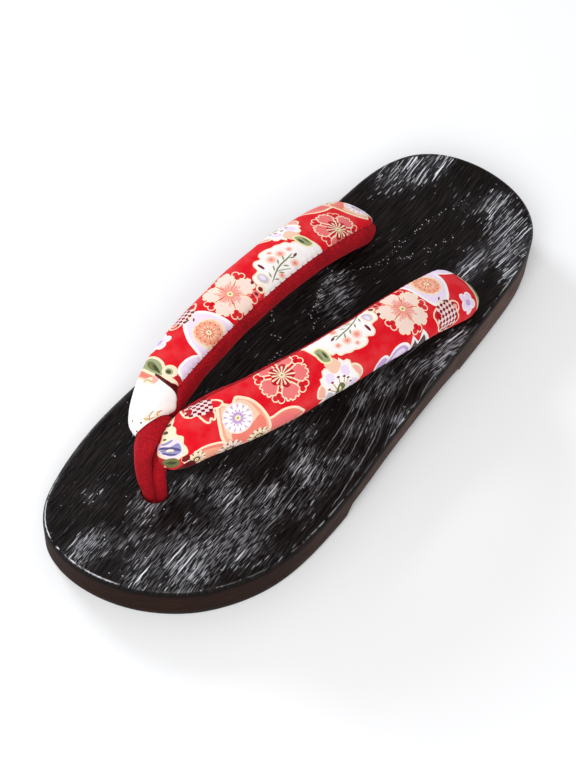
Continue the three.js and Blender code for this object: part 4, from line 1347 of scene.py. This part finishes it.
# %% The chart, from the pale blossom to the inner branch
CHART += """\
# the pale plum blossom and the little rings beside it
blossom lobed pale cream none blush 10.6 54 16 0.5 109,-1
rays coral 16 65.5 109,-1
dots butter 109,-1,1.2,1.2,0,12
dots moss 109,-1,0.55,0.55,0,8
dots cream 99.4,-8.2,1.7,1.9,0,12
dots wine 99.4,-8.2,0.9,1.1,0,9
dots salmon 102,-8.4,1.3,1.8,0,12
dots wine 102.1,-8.3,0.6,0.9,0,9 99.4,-4.2,0.8,0.7,0,9
dots coral 104.6,-6.6,0.9,0.7,30,10
# lilac arches and spikes along the lower seam
edged lilac white 1 88,14 89.4,11.4 91.8,10.8 93.6,12.4 94.6,16 90,19
edged lilac white 1.1 94.6,17 95,12.6 97.2,10.4 101,10.3 104,12.6 105.6,17 100,21
patch lavender 96.8,16 97.4,12.8 100.6,12 103.2,15 100,18
sharp white 105.4,14 106.4,9.4 109.4,13.6 111.8,9.4 117.2,17 116,20 106.5,19
sharp smoke 106.5,14 107,11.4 109.6,15.4 112,11.6 115.4,17.2 107.4,18
# the lavender fan with the amber daisy
edged lavender white 1.3 118.8,-14 119.2,-9 119.9,-4 120.7,-0.4 121.8,2.4 123.2,4.4 125.6,5.2 128.2,5.2
    130.8,3.8 133.6,1 135.9,-1.8 137.4,-5 138.4,-8.6 139,-14
dots cream 128.2,-5.4,6.8,6.4,0,28
dots apricot 128.2,-5,6,5.4,0,26
daisy peach amber cream cream 5.6 13 128.2,-4.9
# the chequered plum and its twig
chequered 5.4 5.6 40 1.35 0.95 0.1 126.2,10.4 120.2,6.6 122.6,5.8 124.6,6.9 126.8,5.6 129.4,6 131.4,6.1
    133.2,7.4 132.9,9.4 131.6,10.8 132.2,13 130,16 126,17 121.6,15 120.2,12 119.4,9.6 119,8
dots crimson 121.4,8.4,1.5,1,15,12
dots blush 131.2,8.3,1.2,0.9,0,12
line cream 0.6 123.8,5.6 125.4,4.4 126.6,5 128.2,3
leaves brown 126.4,2.9,1,0.35,-35
leaves leaf 127.8,4.7,0.8,0.4,20
# the small lilac flower and the sweep under the upper seam
posy white lavender 20 139.6,9.2
dots lilac 139.6,9.2,1.4,1.2,0,12
edged lavender white 1 137.8,-14 138.4,-8.6 140.2,-6.6 143,-5.4 146,-5 148.8,-5.2 150.8,-6.8 151.2,-9
    151.2,-14
# the white patch, leaves and peach bands at the inner branch's nose
patch white 150.4,12 152.8,6 153.6,1 154.4,-3 156.6,-10 160,-14 178,-14 182,20 150,22
patch blush 146.6,20 149.4,10 151.8,4 154.6,-0.4 157.4,0.2 156.2,5 153.6,11 152,20
patch coral 150.4,12 152.4,6 154.8,2 155.6,4 153,11
line cream 0.8 157.8,-1 157,3.4 154.8,8.6 153,14
edged moss cream 1 154,-1.2 151.4,-0.8 148.6,1.6 147,5.4 146.4,10 147,13 150,12 152,7.4 153.6,3
leaves olive 150.4,4.8,4.4,1.2,-62
leaves leaf 151.4,2.4,3,0.6,-58
dots cream 151,-2.8,2.7,3,20,16
dots moss 151.2,-2.6,1.3,1.6,20,12
dots leaf 151.4,-2.5,0.8,1,20,10
patch crimson 152.4,-8.2 151.2,-6.8 152.2,-5.4 154,-7.4
patch cream 154.6,-8.4 153.2,-4.6 153.8,-1.4 155.2,-4
sharp maroon 159.4,-11 157.4,-6.4 155.6,-1.6 154,1.6 153.3,1.7 153.8,-0.6 154.8,-3.2 155.4,-5.6 155,-8.4
    156.8,-12
dots cream 156.4,2.8,1.6,1.28,30,10 167.8,-5.4,1.4,1.12,30,10 169.8,-2,1.3,1.04,30,10
line gold 0.45 165.9,-6.6 167.2,-5.2 168.2,-5.8
line gold 0.45 167,-3.6 168.8,-2.6 170.4,-3.2
line gold 0.45 168.6,-4.6 169.8,-3 170.2,-0.8
line gold 0.45 157,1.2 156.2,3.4 157.6,4.6
dots brown 168.8,-6,0.4,0.3,40,8 167.8,-8.5,0.4,0.3,40,8 171.6,-0.2,0.4,0.3,40,8 174.4,0.9,0.4,0.3,40,8
    171.4,3.2,0.4,0.3,40,8
# the folded end at the outer branch's nose
patch maroon -3,4 2.4,4 6,4.4 11,5.2 13,8 8,20 -3,20
patch crimson -3,-8 4.4,-7 7.6,-1 5.2,2.2 -3,2
patch cream 6.6,-14 15.3,-14 15.5,-10 14.8,-8.2 15.1,-6.2 14.6,-4.2 15.4,-2 14.6,-0.2 14.6,1.6 13.8,3.2
    12,2.6 9.4,1.6 6.8,-1.6 5.2,-4.6 5.4,-8.6 9,-7.6 10.6,-9.6
patch lavender 6.4,-8.2 9.2,-6.4 11.4,-4.4 13.6,-4 14.2,-0.6 12.6,1.8 9.6,0.6 7.2,-2.6
patch slate 7.4,-4.6 9.4,-3.8 12,-2.6 13.8,-1.6 13,1 10.4,0.2 8.4,-1.8
line indigo 0.9 7,-5.6 9.4,-4.2 11.8,-1.6 13,0.6
line slate 0.8 9.2,-6 11.2,-4.6 13.2,-3.8
line cream 0.8 9.4,-2.8 10.6,-2.2 11.6,-1
line indigo 0.6 7.4,-3.4 9.2,-1.6 11.4,0.6
line blush 0.7 3,0.6 4.6,0.5 6.4,-0.4
leaves leaf 12.5,-8.4,1.6,0.55,62 14,-10.4,1.6,0.55,70
leaves olive 11.3,-6.4,1.1,0.4,50
patch olive 5.2,-1.4 8,-0.6 10.2,1.2 9.8,3.6 6.8,3.2 5,1.2
leaves leaf 7.6,1.2,2.2,0.6,40
dots wine 12.2,4,1.6,1.1,20,12
"""
print("the chart has", CHART.count("\n"), "lines")

# %% Reading the chart
FIGURES = {
    "patch": lambda inks, sizes, places: [(bend(places), inks[0])],
    "sharp": lambda inks, sizes, places: [(places, inks[0])],
    "dots": lambda inks, sizes, places: [(oval(*place), inks[0]) for place in places],
    "leaves": lambda inks, sizes, places: [(leaf(*place), inks[0]) for place in places],
    "edged": lambda inks, sizes, places: cornered(inks, sizes, bend(places)),
    "line": stroke, "cornered": cornered, "chequered": chequered, "blossom": blossom, "daisy": daisy,
    "posy": posy, "stamens": stamens, "buds": buds, "sprig": sprig, "rays": rays}


def read_chart(text):
    """Draws the rows of a chart. A row that starts with a blank goes on with the one before."""
    shapes = []
    for row in text.replace("\n    ", " ").strip().split("\n"):
        if not row.startswith("#"):
            kind, *rest = row.split()
            places = [tuple(float(n) for n in word.split(",")) for word in rest if "," in word]
            inks = [word for word in rest if word.isalpha()]
            sizes = [float(word) for word in rest if "," not in word and not word.isalpha()]
            shapes += FIGURES[kind](inks, sizes, places)
    return shapes


PRINT = read_chart(CHART)
print("print has", len(PRINT), "shapes")

# %% Cutting the flat cloth
AT_ENDS, BY_SEAM = np.array([0.05, 0.2, 0.45]), (0.001, 0.25, 0.5, 0.8, 1.2, 1.7, 2.4)


def cut_cloth(strap, shapes, step=0.8):
    """The flat cloth of a branch as triangles. Returns its points, faces and the face's shapes."""
    end = strap["u"][-1]
    u = np.concatenate([AT_ENDS, np.arange(step, end - 0.6, step), end - AT_ENDS[::-1]])
    upper, lower = seams(strap, u)
    tuck = 0.6 * fullness(strap, u, 0.25, 0.6)
    line = lambda v: list(zip(u, v))
    points = line(upper - tuck) + line(lower + tuck)[::-1]
    loops, edges = [list(range(len(points)))], []
    for shape, _ in shapes:
        shape = shape if area(shape) > 0 else shape[::-1]
        loops.append(list(range(len(points), len(points) + len(shape))))
        points += shape
    for inward in BY_SEAM:
        for seam, sign in ((upper, 1), (lower, -1)):
            keep = (lower - upper) > 2 * inward + 0.4
            start = len(points)
            row = [p for p, k in zip(line(seam + sign * inward), keep) if k]
            joined = [k for k in range(len(row) - 1) if row[k + 1][0] - row[k][0] < 1]
            edges += [(start + k, start + k + 1) for k in joined]
            points += row
    for at in u[3:-3:2]:
        a, b = np.interp(at, u, upper) + 3, np.interp(at, u, lower) - 3
        if b > a:
            points += [(at, v) for v in np.linspace(a, b, max(2, int((b - a) / 1.1)))]
    made = delaunay_2d_cdt([Vector(p) for p in points], edges, loops, 1, 1e-4, True)
    kept = [(f, max(source)) for f, source in zip(made[2], made[5]) if 0 in source]
    used = sorted({i for f, _ in kept for i in f})
    number = {old: new for new, old in enumerate(used)}
    flat = np.array([tuple(p) for p in made[0]])[used]
    return flat, [[number[i] for i in f] for f, _ in kept], [tone for _, tone in kept]


# %% The smooth directions of a cover
def facing_out(strap, u, v, e=0.12):
    """The smooth direction out of the cover, so that its creases shade softly."""
    along = stand(strap, u + e, v, True) - stand(strap, u - e, v, True)
    across = stand(strap, u, v + e, True) - stand(strap, u, v - e, True)
    facing = unit(np.cross(across, along)) * strap["side"]
    trust = fullness(strap, u, 0.15, 0.2)[:, None]
    return unit(facing * trust + on_strap(strap, u, v, "out") * (1 - trust))


def corner_values(mesh, layer, kind, width):
    values = np.empty(len(mesh.loops) * width, np.float32)
    layer.data.foreach_get(kind, values)
    return values.reshape(-1, width)


# %% Dressing the strap in cloth
def printed_cover(name, strap, shapes, thick=0.5):
    flat, cloth, tones = cut_cloth(strap, shapes)
    u, v = flat.T
    count = len(flat)
    outside = [f[::-1] if strap["side"] > 0 else f for f in cloth]
    inside = [[i + count for i in reversed(f)] for f in outside]
    seen = {(a, b): True for f in outside for a, b in zip(f, f[1:] + [f[0]])}
    rims = [(b, a, a + count, b + count) for a, b in seen if (b, a) not in seen]
    colours = np.array([linear(*INK[ink]) for ink in ["red"] + [ink for _, ink in shapes]], np.float32)
    tones = tones + [0] * (len(inside) + len(rims))
    facing = facing_out(strap, u, v)
    facing = np.concatenate([facing, -facing])

    def dress(made):
        """Lays the print, the cloth's own map and the smooth directions on the mesh, then opens it."""
        mesh = made.data
        vertex = np.empty(len(mesh.loops), int)
        mesh.loops.foreach_get("vertex_index", vertex)
        corner = colours[np.repeat(tones, [len(p.vertices) for p in mesh.polygons])]
        mesh.color_attributes.new("ink", "FLOAT_COLOR", "CORNER").data.foreach_set("color", corner.ravel())
        cloth_map = (np.tile(flat, (2, 1))[vertex] / 1000).astype(np.float32)
        mesh.uv_layers.new(name="cloth").data.foreach_set("uv", cloth_map.ravel())
        lay(mesh, "facing", "vector", "CORNER", facing[vertex])
        open_for_thong(made)
        mesh = made.data
        laid = corner_values(mesh, mesh.attributes["facing"], "vector", 3)
        plain = np.array([tuple(p.normal) for p in mesh.polygons])
        plain = np.repeat(plain, [len(p.vertices) for p in mesh.polygons], axis=0)
        cut = np.linalg.norm(laid, axis=1) < 0.5
        mesh.normals_split_custom_set(np.where(cut[:, None], plain, laid).tolist())
        inks = corner_values(mesh, mesh.color_attributes["ink"], "color", 4)
        inks[cut] = linear(*INK["red"])
        mesh.color_attributes["ink"].data.foreach_set("color", inks.ravel())
        mesh.attributes.remove(mesh.attributes["facing"])
        print(name, "opened,", int(cut.sum()), "corners on the cut")

    points = np.concatenate([stand(strap, u, v, True), stand(strap, u, v, True, -thick)])
    made = make_piece(name, points, outside + inside + rims, printed_cotton, "printed_cotton", ["hanao"],
                      finish=dress)


# %% Both printed covers
OUTER_START, INNER_START = 1.95, 178.1


def drift(s):
    """How far the inner cover was laid sideways from the outer one, at each place along the print."""
    return np.interp(s, (40, 53, 70, 87, 97, 109, 128, 140), (-3.0, -2.0, 0.3, 2.1, 2.2, 1.4, 0.4, 0.0))


outer_print = [([(s - OUTER_START, v) for s, v in shape], ink) for shape, ink in PRINT]
inner_print = [([(INNER_START - s, v + float(drift(s))) for s, v in shape], ink) for shape, ink in PRINT]
printed_cover("outer_cover", outer, outer_print)
printed_cover("inner_cover", inner, inner_print)

# %% [markdown]
# ## Stitches
# The two cloths are joined by hand with slip stitches, small slanted dots of dark red thread sunk
# in the crease. They are all alike and follow the seam, so Geometry Nodes places them: the seam
# line is cut to even steps and one stitch is laid on each.

# %% A tree that lays stitches
STITCH = {"Pitch": 0.0031, "Length": 0.00065, "Thickness": 0.0002, "Slant": 0.6}
stitch_net, given = new_growth("stitches", STITCH)
net = stitch_net
seam = net.add("GeometryNodeMeshToCurve", {"Mesh": given["Geometry"]})[0]
seam = net.add("GeometryNodeResampleCurve", {"Curve": seam, "Length": given["Pitch"]}, mode="LENGTH")[0]
ball = net.add("GeometryNodeMeshUVSphere", {"Segments": 8, "Rings": 5, "Radius": 1.0})[0]
size = net.point(given["Length"], given["Thickness"], given["Thickness"])
up = net.add("GeometryNodeInputNamedAttribute", {"Name": "up"}, data_type="FLOAT_VECTOR")[0]
tangent = net.add("GeometryNodeInputTangent")[0]
slant = net.add("ShaderNodeVectorRotate", {"Vector": tangent, "Axis": up, "Angle": given["Slant"]})[0]
turned_by = net.add("FunctionNodeAxesToRotation", {"Primary Axis": slant, "Secondary Axis": up},
                    primary_axis="X", secondary_axis="Z")[0]
sewn = {"Points": seam, "Instance": ball, "Rotation": turned_by, "Scale": size}
finish_growth(net, net.add("GeometryNodeInstanceOnPoints", sewn)[0], stitch_thread)

# %% Laying them
for name, strap in (("outer_stitches", outer), ("inner_stitches", inner)):
    u = np.arange(10, strap["u"][-1] - 7, 0.8)
    mesh = line_mesh(name, [stand(strap, u, seam, False, 0.18) for seam in seams(strap, u)])
    up = np.concatenate([on_strap(strap, u, seam, "out") for seam in seams(strap, u)])
    lay(mesh, "up", "vector", "POINT", up)
    values = {**STITCH, "Slant": STITCH["Slant"] * strap["side"]}
    grow(name, mesh, stitch_net, values, stitch_thread)

# %% [markdown]
# ## The velvet thong
# A doubled strip of velvet comes up through the front hole, goes over the nose of the strap and
# back down behind it. It is a soft tube along that line, a little flatter than round, with the
# fold of the cloth showing as a fine ridge and slight wrinkles where it bends.

# %% Its tube
points, faces = tube(thong_line, thong_radius, 96, thong_section)
make_piece("toe_thong", points, faces, thong_velvet, "red_velvet", ["maetsubo"])

# %% [markdown]
# ## Tails and knots
# Under the sole, each tail of the strap and both ends of the thong are tied in a knot that sits in
# its pocket and can't slip through the hole. A knot is one cord on a trefoil line, flattened to
# the pocket's depth, and the tail above it is two cords laid round each other.

# %% Cords
CORD, KNOT_LEVEL, KNOT_RISE, TAIL_START, LAY = 1.5, 6.1, 1.55, 6.5, 0.75


def knot(hole, top):
    """Returns the trefoil and the two strands above it as (points, faces) parts."""
    centre = np.array([HOLES["across"][hole], HOLES["along"][hole], KNOT_LEVEL])
    size = (HOLES["knot"][hole] - CORD - 0.15) / 3
    t = np.linspace(0, 2 * math.pi, 180, endpoint=False)
    line = np.stack([size * (np.sin(t) + 2 * np.sin(2 * t)), size * (np.cos(t) - 2 * np.cos(2 * t)),
                     -KNOT_RISE * np.sin(3 * t)], -1) + centre
    twisted = lambda share, angle, radius: radius * (1 + 0.05 * np.cos(3 * angle + 24 * math.pi * share))
    parts = [tube(line, np.full(180, CORD), 16, twisted, closed=True)]
    strand = (HOLES["bore"][hole] - 0.7) / 2
    for start in (0, math.pi):
        z = np.linspace(TAIL_START, top, 60)
        turn = z * LAY + start
        line = np.stack([centre[0] + strand * np.cos(turn), centre[1] + strand * np.sin(turn), z], -1)
        parts.append(tube(line, np.full(60, strand), 20, lambda share, angle, radius: radius + 0 * angle))
    return parts


KNOTS = (("thong_knot", "maetsubo", 12.0), ("outer_knot", "hanao", 23.0), ("inner_knot", "hanao", 23.0))
for hole, (name, node, top) in enumerate(KNOTS):
    points, faces, first = [], [], 0
    for part, part_faces in knot(hole, top):
        points.append(part)
        faces += [[i + first for i in f] for f in part_faces]
        first += len(part)
    make_piece(name, np.concatenate(points), faces, knot_cord, "red_velvet", [node])
